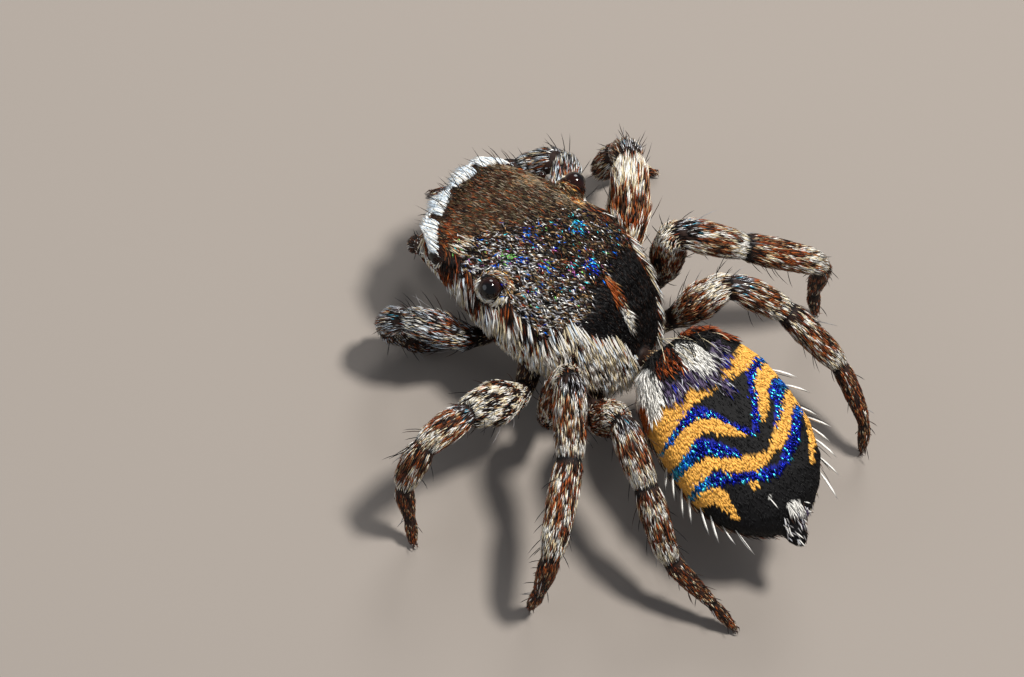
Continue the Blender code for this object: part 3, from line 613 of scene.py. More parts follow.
def limbPlace(limb, points):
    # For places on a limb: index along its centre line, segment, share of it, and angle from above
    index = np.empty(len(points), int)
    for start in range(0, len(points), 4000):
        block = points[start:start + 4000]
        away = ((block[:, None, :] - limb.path[None]) ** 2).sum(2)
        index[start:start + 4000] = away.argmin(1)
    along = limb.along[index]
    out = unit(points - limb.path[index])
    upper = unit(np.array((0, 0, 1.0)) - along * along[:, 2:3] + 1e-6)
    across = np.cross(along, upper)
    angle = np.arctan2((out * across).sum(1), (out * upper).sum(1))
    return index, limb.segment[index], limb.share[index], angle, along


# The coat's map keeps this far from its edges
mapEdge = 0.03
mapSpan = 0.94


def bodyUnwrap(points, values):
    stations = np.array(values["stations"])
    level = np.interp(points[:, 1], stations[:, 0], stations[:, 3])
    turn = np.arctan2(points[:, 2] - level, points[:, 0]) / (2 * math.pi) + 0.5
    run = (points[:, 1] - stations[0, 0]) / (stations[-1, 0] - stations[0, 0])
    return np.stack([mapEdge + mapSpan * turn, mapEdge + mapSpan * np.clip(run, 0, 1)], axis=1)


# Hair and scales are thin solid strands, joined in one mesh for each piece
coat = {}
strandValues = {"sides": 3, "sink": 0.003, "lowest": 0.006, "map": 0.0014}


def grow(piece, points, normals, lie, length, width, rise, curl, colour, unwrap, keep=None,
         rootTone=None, shine=0.0, flatness=0.45, rings=2, swing=0.18, slim=0.75):
    # A strand at each place that is kept. It leaves its root between the normal and the lie, and
    # bends towards the lie.
    if keep is None:
        keep = np.ones(len(points), bool)
    count = int(keep.sum())
    if count == 0:
        return
    rootTone = (colour * 0.75 if rootTone is None else rootTone)[keep]
    sizes = (np.broadcast_to(value, len(keep))[keep] for value in (length, width, rise, shine))
    length, width, rise, gloss = (size[:, None] for size in sizes)
    lie = np.broadcast_to(lie, (len(keep), 3))[keep]
    points, normals, tipTone, unwrap = points[keep], normals[keep], colour[keep], unwrap[keep]
    lie = unit(lie - normals * (lie * normals).sum(1, keepdims=True))
    across = np.cross(normals, lie)
    lie = unit(lie + across * rng.normal(0, swing, (count, 1)))
    start = unit(lie + normals * rise)
    end = unit(lie + normals * rise * curl + across * rng.normal(0, swing * 0.5, (count, 1)))
    base = points - normals * strandValues["sink"]
    bend = base + start * length * 0.5
    tip = bend + end * length * 0.5
    sides = strandValues["sides"]
    vertices, tints, maps, faces = [], [], [], []
    for k in range(rings):
        t = k / rings
        centre = base * (1 - t) ** 2 + bend * 2 * t * (1 - t) + tip * t * t
        ahead = unit(start * (1 - t) + end * t)
        side = unit(np.cross(ahead, normals))
        thick = np.cross(side, ahead)
        size = width * (slim if k == 0 else 1.0 - 0.35 * max(0.0, t - 0.5) * 2)
        for i in range(sides):
            a = 2 * math.pi * i / sides + math.pi / 2
            vertices.append(centre + size * (math.cos(a) * side + flatness * math.sin(a) * thick))
            tints.append(rootTone * (1 - t) + tipTone * t)
            maps.append(unwrap + strandValues["map"] * np.array((math.cos(a), math.sin(a) + t)) * 0.6)
            if k:
                j, here, before = (i + 1) % sides, k * sides, (k - 1) * sides
                faces.append((before + i, before + j, here + j))
                faces.append((before + i, here + j, here + i))
    vertices.append(tip)
    tints.append(tipTone)
    maps.append(unwrap + np.array((0, strandValues["map"])))
    each = len(vertices)
    last = (rings - 1) * sides
    faces += [(last + i, last + (i + 1) % sides, each - 1) for i in range(sides)]
    faces.append((2, 1, 0))
    vertices, tints, maps = (
        np.stack(rows, axis=1).reshape(-1, rows[0].shape[1]) for rows in (vertices, tints, maps))
    vertices[:, 2] = np.maximum(vertices[:, 2], strandValues["lowest"])
    faces = (np.array(faces)[None] + each * np.arange(count)[:, None, None]).reshape(-1, 3)
    coat.setdefault(piece, []).append((vertices, tints, maps, np.repeat(gloss[:, 0], each), faces))


def finishCoat(piece, surface):
    *columns, corners = zip(*coat[piece])
    vertices, tints, maps, gloss = (np.concatenate(column) for column in columns)
    offsets = np.cumsum([0] + [len(batch) for batch in columns[0]])
    faces = np.vstack([batch + offset for batch, offset in zip(corners, offsets)])
    mesh = bpy.data.meshes.new(piece)
    mesh.vertices.add(len(vertices))
    mesh.vertices.foreach_set("co", vertices.astype(np.float32).ravel())
    mesh.loops.add(len(faces) * 3)
    mesh.loops.foreach_set("vertex_index", faces.astype(np.int32).ravel())
    mesh.polygons.add(len(faces))
    mesh.polygons.foreach_set("loop_start", np.arange(0, len(faces) * 3, 3, dtype=np.int32))
    mesh.update(calc_edges=True)
    mesh.validate()
    mesh.shade_smooth()
    tinted = mesh.attributes.new("coatTone", "FLOAT_COLOR", "POINT")
    tints = np.hstack([tints, np.ones((len(tints), 1))])
    tinted.data.foreach_set("color", tints.astype(np.float32).ravel())
    shiny = mesh.attributes.new("coatShine", "FLOAT", "POINT")
    shiny.data.foreach_set("value", gloss.astype(np.float32))
    unwrapped = mesh.uv_layers.new(name="OFBake")
    unwrapped.data.foreach_set("uv", maps[faces.ravel()].astype(np.float32).ravel())
    mesh.materials.append(surface)
    addPiece(mesh, piece)
    print(piece, "has", len(faces), "triangles")


def addPiece(mesh, name):
    mesh.transform(toFrame)
    item = placed(name, mesh)
    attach(item, "root")
    return item


def makeMottle():
    # Fine light and dark variation, for skin, hair and claws
    group = bpy.data.node_groups.new("mottle", "ShaderNodeTree")
    face = group.interface
    face.new_socket("Colour", in_out="INPUT", socket_type="NodeSocketColor")
    for name, value in (("Scale", 9000.0), ("Amount", 0.3)):
        face.new_socket(name, in_out="INPUT", socket_type="NodeSocketFloat").default_value = value
    face.new_socket("Colour", in_out="OUTPUT", socket_type="NodeSocketColor")
    face.new_socket("Height", in_out="OUTPUT", socket_type="NodeSocketFloat")
    nodes, links = group.nodes, group.links
    given = nodes.new("NodeGroupInput")
    result = nodes.new("NodeGroupOutput")
    where = nodes.new("ShaderNodeTexCoord")
    grain = nodes.new("ShaderNodeTexNoise")
    grain.inputs["Detail"].default_value = 4.0
    level = nodes.new("ShaderNodeMath")
    level.operation = "MULTIPLY_ADD"
    level.inputs[1].default_value = 0.56
    level.inputs[2].default_value = 0.72
    shade = nodes.new("ShaderNodeMixRGB")
    shade.blend_type = "MULTIPLY"
    links.new(where.outputs["Object"], grain.inputs["Vector"])
    links.new(given.outputs["Scale"], grain.inputs["Scale"])
    links.new(grain.outputs["Fac"], level.inputs[0])
    links.new(given.outputs["Amount"], shade.inputs["Fac"])
    links.new(given.outputs["Colour"], shade.inputs["Color1"])
    links.new(level.outputs[0], shade.inputs["Color2"])
    links.new(shade.outputs["Color"], result.inputs["Colour"])
    links.new(grain.outputs["Fac"], result.inputs["Height"])
    return group


mottle = makeMottle()


def makeSurface(name, values):
    # A material whose colour is an attribute or one tone, with mottling and a little bump
    made = bpy.data.materials.new(name)
    made.use_nodes = True
    nodes, links = made.node_tree.nodes, made.node_tree.links
    shader = nodes["Principled BSDF"]
    shader.inputs["Roughness"].default_value = values["roughness"]
    shader.inputs["IOR"].default_value = values.get("ior", 1.5)
    grain = nodes.new("ShaderNodeGroup")
    grain.node_tree = mottle
    grain.inputs["Scale"].default_value = values["scale"]
    grain.inputs["Amount"].default_value = values["amount"]
    if "tone" in values:
        grain.inputs["Colour"].default_value = (*tones[values["tone"]], 1.0)
    else:
        colour = nodes.new("ShaderNodeAttribute")
        colour.attribute_name = values["attribute"]
        links.new(colour.outputs["Color"], grain.inputs["Colour"])
    links.new(grain.outputs["Colour"], shader.inputs["Base Color"])
    if values.get("bump"):
        bump = nodes.new("ShaderNodeBump")
        bump.inputs["Strength"].default_value = 0.8
        bump.inputs["Distance"].default_value = values["bump"]
        links.new(grain.outputs["Height"], bump.inputs["Height"])
        links.new(bump.outputs["Normal"], shader.inputs["Normal"])
    if values.get("shine"):
        shine = nodes.new("ShaderNodeAttribute")
        shine.attribute_name = "coatShine"
        links.new(shine.outputs["Fac"], shader.inputs["Metallic"])
        smoother = nodes.new("ShaderNodeMath")
        smoother.operation = "MULTIPLY_ADD"
        smoother.inputs[1].default_value = -0.25
        smoother.inputs[2].default_value = values["roughness"]
        links.new(shine.outputs["Fac"], smoother.inputs[0])
        links.new(smoother.outputs[0], shader.inputs["Roughness"])
    return made


surfaces = {
    "skin": makeSurface("spider skin", {
        "attribute": "skinTone", "roughness": 0.62, "scale": 26000.0, "amount": 0.8,
        "bump": 0.000008, "ior": 1.25}),
    "hair": makeSurface("spider hair", {
        "attribute": "coatTone", "roughness": 0.50, "scale": 16000.0, "amount": 0.30,
        "shine": True, "ior": 1.3}),
    "eye": makeSurface("eye lens", {
        "attribute": "lensTone", "roughness": 0.03, "scale": 3000.0, "amount": 0.1, "ior": 1.45}),
    "claw": makeSurface("claw horn", {
        "tone": "darkBrown", "roughness": 0.25, "scale": 12000.0, "amount": 0.5}),
}

# The eyes as balls, which no hair may cover
eyeBalls = [
    (np.array((side * x, y, z)), radius) for x, y, z, radius in eyeValues.values() for side in (1, -1)
]


def clearOfEyes(points, lie, length, room=1.04):
    # False for a hair whose root or middle would lie over an eye
    keep = np.ones(len(points), bool)
    for centre, radius in eyeBalls:
        for share in (0.0, 0.5, 1.0):
            spot = points + lie * np.broadcast_to(length, len(points))[:, None] * share
            keep &= np.linalg.norm(spot - centre, axis=1) > radius * room
    return keep


carapaceLevels = np.array(carapaceValues["stations"])


def carapacePlace(points):
    # Angle up from the margin in degrees: 0 at the margin, 90 along the middle of the back
    width = np.interp(points[:, 1], carapaceLevels[:, 0], carapaceLevels[:, 1])
    top = np.interp(points[:, 1], carapaceLevels[:, 0], carapaceLevels[:, 2])
    level = np.interp(points[:, 1], carapaceLevels[:, 0], carapaceLevels[:, 3])
    return np.degrees(np.arctan2((points[:, 2] - level) / (top - level), np.abs(points[:, 0]) / width))


def carapaceZones(points, normals):
    # Shares of each zone at each place: flank, face, front of the head, glitter, velvet
    up = carapacePlace(points) + 5 * cloud(points, 0.16, 3.0)
    x, y = points[:, 0], points[:, 1] + 0.06 * cloud(points, 0.2, 7.0)
    left = np.clip(x / 0.4, -1, 1)
    top = np.where(y > 0.45, 58 + 20 * np.clip((y - 0.6) / 0.5, 0, 1), 42)
    top = np.where(x < 0, np.minimum(top, 40), top)
    flank = np.clip((top - up) / 8, 0, 1)
    face = np.clip((-1.02 - y) / 0.04, 0, 1)
    face = np.where(normals[:, 2] > 0.45, 0, face)  # the roof is no face
    velvet = np.clip((y - 0.42 - 0.05 * left) / 0.10, 0, 1) * (1 - flank)
    right = np.clip((-0.52 - x - 0.3 * np.clip(y, -0.4, 0.4)) / 0.08, 0, 1) * (y > -0.35)
    velvet = np.maximum(velvet, right * (1 - flank))
    head = np.clip((-0.36 - 0.30 * left - y) / 0.18, 0, 1) * (1 - flank) * (1 - face)
    glitter = np.clip(1 - velvet - head - flank - face, 0, 1)
    return flank, face, head, glitter, velvet


def stripe(points):
    # True on the stripe down the middle of the rear slope
    middle = -0.11 + 0.14 * np.clip((points[:, 1] - 0.36) / 0.5, 0, 1)
    wide = 0.042 + 0.022 * cloud(points, 0.08, 5.0)
    return (np.abs(points[:, 0] - middle) < wide) & (points[:, 1] > 0.34) & (points[:, 1] < 0.94)


# Clusters of coloured scales in the glitter: x, y, radius, tones
clusterValues = (
    (0.08, -0.33, 0.075, {"azure": 3.0, "deepBlue": 2.0, "cyan": 1.4}),
    (-0.03, 0.31, 0.08, {"azure": 2.0, "deepBlue": 2.4, "cyan": 0.8}),
    (-0.29, -0.01, 0.08, {"cyan": 2.4, "turquoise": 2.0, "azure": 1.0}),
    (0.39, -0.35, 0.07, {"green": 2.0, "magenta": 1.5, "cyan": 1.0}),
    (0.34, -0.22, 0.06, {"azure": 2.0, "deepBlue": 2.0}),
    (0.12, 0.20, 0.07, {"magenta": 1.6, "cyan": 1.4}),
    (0.28, -0.02, 0.07, {"green": 1.2, "azure": 1.4, "magenta": 0.8}),
)


# Places to the square millimetre, before each zone keeps its share of them
bodyCoatValues = {"carapace": 9000, "abdomen": 5200}


def growCarapace():
    points, normals, _ = scatter(["carapace"], bodyCoatValues["carapace"], 21)
    flank, face, head, glitter, velvet = carapaceZones(points, normals)
    up = carapacePlace(points)
    x = points[:, 0]
    draw = rng.rand(len(points))
    unwrap = bodyUnwrap(points, carapaceValues)
    under = up < -12
    backward = np.stack([-0.35 * x, np.ones(len(x)), np.zeros(len(x))], axis=1)
    hanging = np.stack([0.12 * np.sign(x), np.full(len(x), 0.85), np.full(len(x), -1.0)], axis=1)

    # Front of the head: short dense brown and olive hair that lies back, paler towards its right
    # edge, orange at its left corner, with long cream hair before the rear eye
    on = (head > draw) & ~under
    spots, count = points[on], on.sum()
    streak = cloud(spots * np.array((1, 0.4, 1)), 0.07, 4.0)
    dark = np.clip((spots[:, 1] + 0.62) / 0.25, 0, 1)
    shares = {"darkBrown": 3.0, "umber": 3.0, "olive": 3.0, "black": 1.4, "brown": 0.9, "beige": 0.5}
    colour = pick(count, shares)
    black = rng.rand(count) < 0.45 * dark - 0.1 * streak
    dye(colour, black, {"black": 2.0, "darkBrown": 1.2, "olive": 0.5})
    beige = np.clip((-spots[:, 0] - 0.30) / 0.25, 0, 1) * 0.5 + 0.10
    pale = rng.rand(count) < beige * np.clip(0.9 + 1.2 * streak, 0, 2)
    dye(colour, pale, {"tan": 2.0, "beige": 3.0, "olive": 1.0})
    corner = np.clip((spots[:, 0] - 0.22) / 0.3, 0, 1)
    orange = rng.rand(count) < 0.06 + 0.50 * corner * np.clip(0.8 + streak, 0, 2)
    dye(colour, orange, {"orange": 2.0, "rust": 2.0, "brown": 1.4})
    cream = (spots[:, 0] > 0.40) & (spots[:, 1] > -0.86) & (rng.rand(count) < 0.34)
    dye(colour, cream, {"cream": 2.0, "tan": 1.4, "white": 0.7})
    length = np.where(cream, rng.uniform(0.12, 0.17, count), rng.uniform(0.065, 0.105, count))
    keep = clearOfEyes(spots, unit(backward[on]), length) & (rng.rand(count) < 0.85)
    grow("head_hair", spots, normals[on], backward[on], length, rng.uniform(0.0040, 0.0062, count),
         rng.uniform(0.10, 0.32, count), 0.2, colour * rng.uniform(0.75, 1.15, (count, 1)), unwrap[on],
         keep, swing=0.22)

    # Middle: broad glittering scales, brightest towards the left, with coloured clusters
    on = (glitter > draw) & ~under & (rng.rand(len(points)) < 0.72)
    spots, count = points[on], on.sum()
    bright = np.clip(0.10 + 0.72 * (spots[:, 0] - 0.05), 0.08, 0.46)
    bright = bright * np.clip(1.3 + spots[:, 1], 0.5, 1)
    shares = {"black": 6.0, "darkBrown": 2.4, "umber": 1.4, "olive": 1.2, "tan": 0.5, "rust": 0.4}
    colour = pick(count, shares)
    silver = rng.rand(count) < bright
    dye(colour, silver, {"silver": 3.0, "white": 1.8, "tan": 0.9, "grey": 1.8, "beige": 1.0})
    vivid = rng.rand(count) < 0.03
    dye(colour, vivid, {"azure": 2.0, "deepBlue": 1.6, "cyan": 2.0, "green": 0.8, "magenta": 1.0})
    for middleX, middleY, radius, shares in clusterValues:
        away = np.hypot(spots[:, 0] - middleX, spots[:, 1] - middleY)
        group = (away < radius) & (rng.rand(count) < 0.38)
        dye(colour, group, shares)
        vivid |= group
    shine = np.where(vivid, 0.7, np.where(silver, 0.55, 0.2))
    length = rng.uniform(0.050, 0.095, count)
    slit = (np.hypot((spots[:, 0] - 0.13) / 0.03, (spots[:, 1] + 0.05) / 0.10) > 1)
    keep = clearOfEyes(spots, unit(backward[on]), length) & slit
    grow("back_scales", spots, normals[on], backward[on], length, rng.uniform(0.0075, 0.0115, count),
         rng.uniform(0.03, 0.45, count), 0.1, colour, unwrap[on], keep, swing=0.55, shine=shine,
         flatness=0.3)

    # Rear slope and right edge: velvet, with an orange and white stripe
    on = (velvet > draw) & ~under
    spots, count = points[on], on.sum()
    line = stripe(spots)
    edge = (spots[:, 0] < -0.56) & (rng.rand(count) < 0.30)
    colour = pick(count, {"black": 5.0, "velvet": 5.0, "darkBrown": 1.0})
    white = line & (spots[:, 1] > 0.72 + 0.05 * rng.normal(size=count))
    dye(colour, line, {"orange": 3.0, "rust": 2.5, "tan": 0.8, "darkBrown": 1.0})
    dye(colour, edge, {"brown": 2.0, "rust": 1.0, "orange": 0.8})
    dye(colour, white, {"cream": 1.0, "white": 3.0})
    length = np.where(line, rng.uniform(0.12, 0.18, count), rng.uniform(0.06, 0.10, count))
    keep = rng.rand(count) < np.where(line, 0.55, 0.5)
    grow("back_scales", spots, normals[on], backward[on], length, np.where(line, 0.0085, 0.0055),
         np.where(line, 0.25, 0.15), 0.2, colour, unwrap[on], keep)

    # Flanks: long wavy white and orange hair over near-black skin, whiter towards the rear
    on = (flank > draw) & ~under & (rng.rand(len(points)) < 0.36)
    spots, count = points[on], on.sum()
    rearward = np.clip((spots[:, 1] - 0.15) / 0.40, 0, 1)
    patch = cloud(spots * np.array((1, 1, 0.35)), 0.09, 2.0)
    low = np.clip((20 - up[on]) / 20, 0, 1)
    high = np.clip((up[on] - np.where(spots[:, 0] < 0, 8, 24)) / 14, 0, 1)
    high = high * (1 - rearward * (spots[:, 0] > 0))
    forward = np.clip((-0.45 - spots[:, 1]) / 0.2, 0, 1)
    whiteShare = 0.20 + 0.34 * rearward + 0.50 * patch + 0.04 * low - 0.26 * high
    orangeShare = 0.30 - 0.12 * rearward + 0.30 * forward
    level = rng.rand(count)
    colour = pick(count, {"black": 4.0, "darkBrown": 2.4})
    warm = level < whiteShare + orangeShare
    dye(colour, warm, {"orange": 1.6, "rust": 2.4, "brown": 2.0, "tan": 0.3})
    pale = level < whiteShare
    dye(colour, pale, {"cream": 2.4, "white": 4.0, "coolWhite": 1.0})
    length = np.where(pale, rng.uniform(0.19, 0.28, count), rng.uniform(0.13, 0.20, count))
    length = length * np.where(spots[:, 1] < -0.7, 0.7, 1.0) * np.clip((up[on] + 14) / 34, 0.25, 1)
    sway = np.stack([np.zeros(count), cloud(spots, 0.14, 8.0), np.zeros(count)], axis=1)
    waved = hanging[on] + 0.35 * sway
    keep = clearOfEyes(spots, unit(waved), length)
    grow("flank_hair", spots, normals[on], waved, length, np.where(pale, 0.0105, 0.0075),
         rng.uniform(0.05, 0.20, count), 0.3, colour, unwrap[on], keep, rings=3, rootTone=colour * 0.55,
         swing=0.12)

    # Face below the brow: pale hair that hangs
    on = (face > draw) & (rng.rand(len(points)) < 0.8)
    count = on.sum()
    colour = pick(count, {"cream": 2.0, "white": 2.0, "tan": 2.0, "orange": 1.0, "darkBrown": 1.5})
    lie = np.stack([0.4 * x[on], np.full(count, -0.15), np.full(count, -1.0)], axis=1)
    length = rng.uniform(0.06, 0.11, count)
    keep = clearOfEyes(points[on], unit(lie), length)
    grow("flank_hair", points[on], normals[on], lie, length, 0.006, 0.2, 0.2, colour, unwrap[on], keep)


growCarapace()
print("carapace coat grown")


def landed(start, direction):
    # Where a ray from outside meets the skin, with the normal there
    point, normal, face, _ = skinTree.ray_cast(Vector(start), Vector(direction).normalized())
    if point is None:
        return None
    corners = triangles[face]
    weights = 1 / (np.linalg.norm(skinPoints[corners] - np.array(point), axis=1) + 1e-6)
    return np.array(point), unit((skinNormals[corners] * weights[:, None]).sum(0))


def landedAll(starts, directions):
    found = [landed(start, direction) for start, direction in zip(starts, directions)]
    keep = np.array([item is not None for item in found])
    points = np.array([item[0] for item in found if item is not None])
    normals = np.array([item[1] for item in found if item is not None])
    return points, normals, keep


def landedRays(rays):
    # For rays of a start, a direction and a lie each: the points, normals and lies where they land
    starts, directions, lies = zip(*rays)
    points, normals, keep = landedAll(starts, directions)
    return points, normals, unit(np.array(lies)[keep])


# The brow: four white fringes over the front eyes, with long dark bristles between them
browValues = {
    "middles": (-0.52, -0.18, 0.18, 0.52),
    "halfWidth": 0.125,
    "hairs": 420,
    "length": (0.11, 0.17),
    "width": (0.005, 0.008),
    "bristles": 34,
    "bristleLength": (0.20, 0.36),
    "bristleWidth": 0.0045,
    "side": 0.72,
}


def fringeRays():
    for middle in browValues["middles"]:
        for _ in range(browValues["hairs"]):
            x = middle + browValues["halfWidth"] * rng.uniform(-1, 1)
            lift = rng.uniform(-0.10, 0.05)
            lie = (0.25 * (x - middle) / browValues["halfWidth"] + 0.45 * x, -1.0, 0.30 - 1.2 * lift)
            yield (x, -1.60 + 0.5 * x * x, 1.62 + lift), (0, 0.72, -0.69), lie


def browBristleRays():
    side, count = browValues["side"], browValues["bristles"]
    for number in range(count):
        x = -side + 2 * side * (number + rng.uniform(0.2, 0.8)) / count
        start = (x, -1.45 + 0.5 * x * x, 1.75 + rng.uniform(-0.05, 0.1))
        yield start, (0, 0.62, -0.78), (0.5 * x + rng.normal(0, 0.2), -1.0, 0.35)


def growBrow():
    points, normals, lies = landedRays(fringeRays())
    colour = pick(len(points), {"white": 3.0, "coolWhite": 3.0})
    unwrap = bodyUnwrap(points, carapaceValues)
    across = np.abs(points[:, 0:1] - np.array(browValues["middles"])).min(1) / browValues["halfWidth"]
    length = rng.uniform(*browValues["length"], len(points))
    length = length * np.clip(1.15 - 0.55 * across ** 2, 0.4, 1.2)
    grow("brow_fringe", points, normals, lies, length, rng.uniform(*browValues["width"], len(points)),
         1.0, -0.3, colour, unwrap, rings=3, rootTone=colour * 0.9, swing=0.06)
    points, normals, lies = landedRays(browBristleRays())
    colour = pick(len(points), {"black": 1.0, "darkBrown": 1.0})
    grow("brow_fringe", points, normals, lies, rng.uniform(*browValues["bristleLength"], len(points)),
         browValues["bristleWidth"], 1.0, 0.3, colour, bodyUnwrap(points, carapaceValues),
         rings=3, flatness=1.0)


# Hair round an eye: hairs, width of the ring, how far forwards the eye looks, share of the length
eyeRingValues = {
    "rear_eye": (420, 0.050, -0.25, 1.0),
    "small_eye": (50, 0.04, -0.25, 0.7),
    "front_side_eye": (80, 0.03, -1.6, 0.7),
}


def growEyeRing(side, name):
    # Pale hair that curves round an eye, mostly below it
    hairs, reach, ahead, share = eyeRingValues[name]
    x, y, z, radius = eyeValues[name]
    centre = np.array((side * x, y, z))
    outward = unit(np.array((side * 1.0, ahead, 0.75)))
    forward = unit(np.array((0, -1.0, 0)) - outward * outward[1] * -1.0)
    upward = np.cross(forward, outward) * side
    if upward[2] < 0:
        upward = -upward
    angles = rng.uniform(0, 2 * math.pi, hairs)
    sizes = radius + rng.uniform(0.004, reach, hairs)
    ring = np.cos(angles)[:, None] * forward + np.sin(angles)[:, None] * upward
    spots = centre + sizes[:, None] * ring
    points, normals, keep = landedAll(spots + outward * 0.4, np.broadcast_to(-outward, (hairs, 3)))
    angles = angles[keep]
    # Below the eye the hair runs round it from front to rear, and above it lies back
    around = -np.sin(angles)[:, None] * forward + np.cos(angles)[:, None] * upward
    under = np.sin(angles) < 0.15
    around = np.where((np.cos(angles) > 0)[:, None] & under[:, None], -around, around)
    rear = np.array((0, 1.0, 0))
    lie = np.where(under[:, None], around + 0.25 * rear, rear + 0.4 * around)
    colour = pick(len(points), {"white": 3.0, "cream": 1.6})
    dye(colour, ~under, {"tan": 2.0, "olive": 1.0, "cream": 1.2, "orange": 0.8, "gold": 0.6})
    length = rng.uniform(0.06, 0.10, len(points)) * share
    near = clearOfEyes(points, unit(lie), length, 0.99)
    grow("brow_fringe", points, normals, lie, length, 0.0065, 0.22, 0.0, colour,
         bodyUnwrap(points, carapaceValues), near, rings=3, swing=0.10)


growBrow()
for side in (1, -1):
    for name in eyeRingValues:
        growEyeRing(side, name)
print("brow and eye rings grown")


def growAbdomen():
    points, normals, _ = scatter(["abdomen", "spinnerets"], bodyCoatValues["abdomen"], 31)
    local = (points - abdomenPlace) @ abdomenTurn
    inner = normals @ abdomenTurn
    wobble = 0.010 * rng.normal(size=len(points))
    colour, kind = abdomenBase(local, wobble)
    unwrap = bodyUnwrap(local, abdomenValues)
    outward = np.clip(local[:, 0:1] * 0.35, -0.3, 0.3)
    lie = np.hstack([outward, np.ones((len(points), 1)), np.full((len(points), 1), -0.05)])
    lie = lie @ abdomenTurn.T
    vary = rng.uniform(0.75, 1.12, (len(points), 1))

    # Broad flat scales on the gold and blue bands
    on = np.isin(kind, [kinds.index("gold"), kinds.index("deepBlue")])
    count = on.sum()
    blue = kind[on] == kinds.index("deepBlue")
    tint = colour[on] * vary[on]
    hue = rng.rand(count)
    tint[blue & (hue < 0.12)] = tones["cyan"]
    tint[blue & (hue > 0.62)] *= 0.22
    length = rng.uniform(0.050, 0.072, count)
    grow("abdomen_bands", points[on], normals[on], lie[on], length, rng.uniform(0.010, 0.014, count),
         rng.uniform(0.10, 0.28, count), 0.0, tint, unwrap[on], rootTone=tint * 0.85,
         shine=np.where(blue, 0.75, 0.0), flatness=0.25, swing=0.16)

    # Short black velvet between them
    on = (kind == kinds.index("velvet")) & (rng.rand(len(points)) < 0.30)
    count = on.sum()
    grow("abdomen_coat", points[on], normals[on], lie[on], rng.uniform(0.04, 0.07, count), 0.006,
         rng.uniform(0.1, 0.3, count), 0.0, colour[on] * vary[on], unwrap[on],
         rootTone=colour[on] * 0.6)

    # Longer hair in the pale, plum and rust patches
    on = (kind > kinds.index("deepBlue")) & (rng.rand(len(points)) < 0.55)
    count = on.sum()
    tint = colour[on] * vary[on]
    plumShares = {"plum": 4.0, "black": 2.0, "grey": 1.2, "deepBlue": 0.8, "silver": 0.6}
    dye(tint, kind[on] == kinds.index("plum"), plumShares)
    rustShares = {"rust": 2.0, "orange": 1.5, "darkBrown": 1.5, "black": 1.0}
    dye(tint, kind[on] == kinds.index("rust"), rustShares)
    length = rng.uniform(0.09, 0.16, count)
    grow("abdomen_coat", points[on], normals[on], lie[on], length, 0.0075,
         rng.uniform(0.2, 0.5, count), 0.0, tint, unwrap[on], rings=3, rootTone=tint * 0.8)

    # Flanks, belly and spinnerets: brown, grey and cream hair
    low = (kind == -1) & (rng.rand(len(points)) < 0.22)
    count = low.sum()
    belly = inner[low, 2] < -0.75
    shares = {"darkBrown": 2.4, "black": 1.6, "brown": 1.6, "cream": 1.8, "grey": 1.2, "orange": 0.6}
    tint = pick(count, shares)
    dye(tint, belly, {"tan": 3.0, "cream": 1.5, "brown": 1.6, "grey": 1.0})
    length = np.where(belly, rng.uniform(0.06, 0.10, count), rng.uniform(0.11, 0.19, count))
    grow("abdomen_coat", points[low], normals[low], lie[low], length, 0.0075,
         rng.uniform(0.12, 0.4, count), 0.1, tint, unwrap[low], rings=3)


# Bristles of the rim, as places along each side, and two tufts: dark bristles that curl up over the
# front edge, and a pale tail over the spinnerets. All are in the abdomen's own frame.
rimValues = {
    "left": (-0.10, 0.02, 0.15, 0.26, 0.38, 0.50, 0.62, 0.74),
    "right": (-0.28, -0.08, 0.10, 0.22, 0.34, 0.48, 0.60, 0.72),
    "length": (0.22, 0.32),
    "from": 0.80,
}
tuftValues = {
    "front": {
        "hairs": 64,
        "across": (-0.52, 0.50),
        "start": (-1.5, 0.45),
        "lift": (-0.12, 0.08),
        "aim": (0, 0.92, -0.40),
        "lie": (0.3, 0.15, -0.6, 0.8),
        "tones": {"black": 5.0, "cream": 0.5},
        "length": (0.20, 0.36),
        "shape": (0.0048, 0.7, -0.6),
        "more": {"rings": 4, "flatness": 1.0},
    },
    "tail": {
        "hairs": 70,
        "across": (-0.20, 0.10),
        "start": (1.5, 0.12),
        "lift": (-0.14, 0.06),
        "aim": (0, -0.97, -0.20),
        "lie": (0.5, 0.2, 1.0, 0.1),
        "tones": {"grey": 2.0, "silver": 1.6, "white": 1.0, "plum": 1.0, "darkBrown": 1.0},
        "length": (0.06, 0.12),
        "shape": (0.0075, 0.5, 0.1),
        "more": {"rings": 3},
    },
}


def landedOnAbdomen(rays):
    # As landedRays, for rays in the abdomen's own frame, with the places on its map as well
    points, normals, lies = landedRays([
        (abdomenPlace + abdomenTurn @ np.array(start), abdomenTurn @ np.array(aim),
         abdomenTurn @ np.array(lie))
        for start, aim, lie in rays
    ])
    return points, normals, lies, bodyUnwrap((points - abdomenPlace) @ abdomenTurn, abdomenValues)


def rimRays():
    for sideName, side in (("left", 1), ("right", -1)):
        for y in rimValues[sideName]:
            for _ in range(2):
                place = y + rng.uniform(-0.03, 0.03)
                start = (side * rimValues["from"], place, -0.05 + rng.uniform(-0.05, 0.04))
                yield start, (-side, 0, 0), (side * 0.5, 0.8, 0.0)


def tuftRays(values):
    y, z = values["start"]
    turn, sway, backwards, upwards = values["lie"]
    for _ in range(values["hairs"]):
        x = rng.uniform(*values["across"])
        start = (x, y, z + rng.uniform(*values["lift"]))
        yield start, values["aim"], (turn * x + rng.normal(0, sway), backwards, upwards)


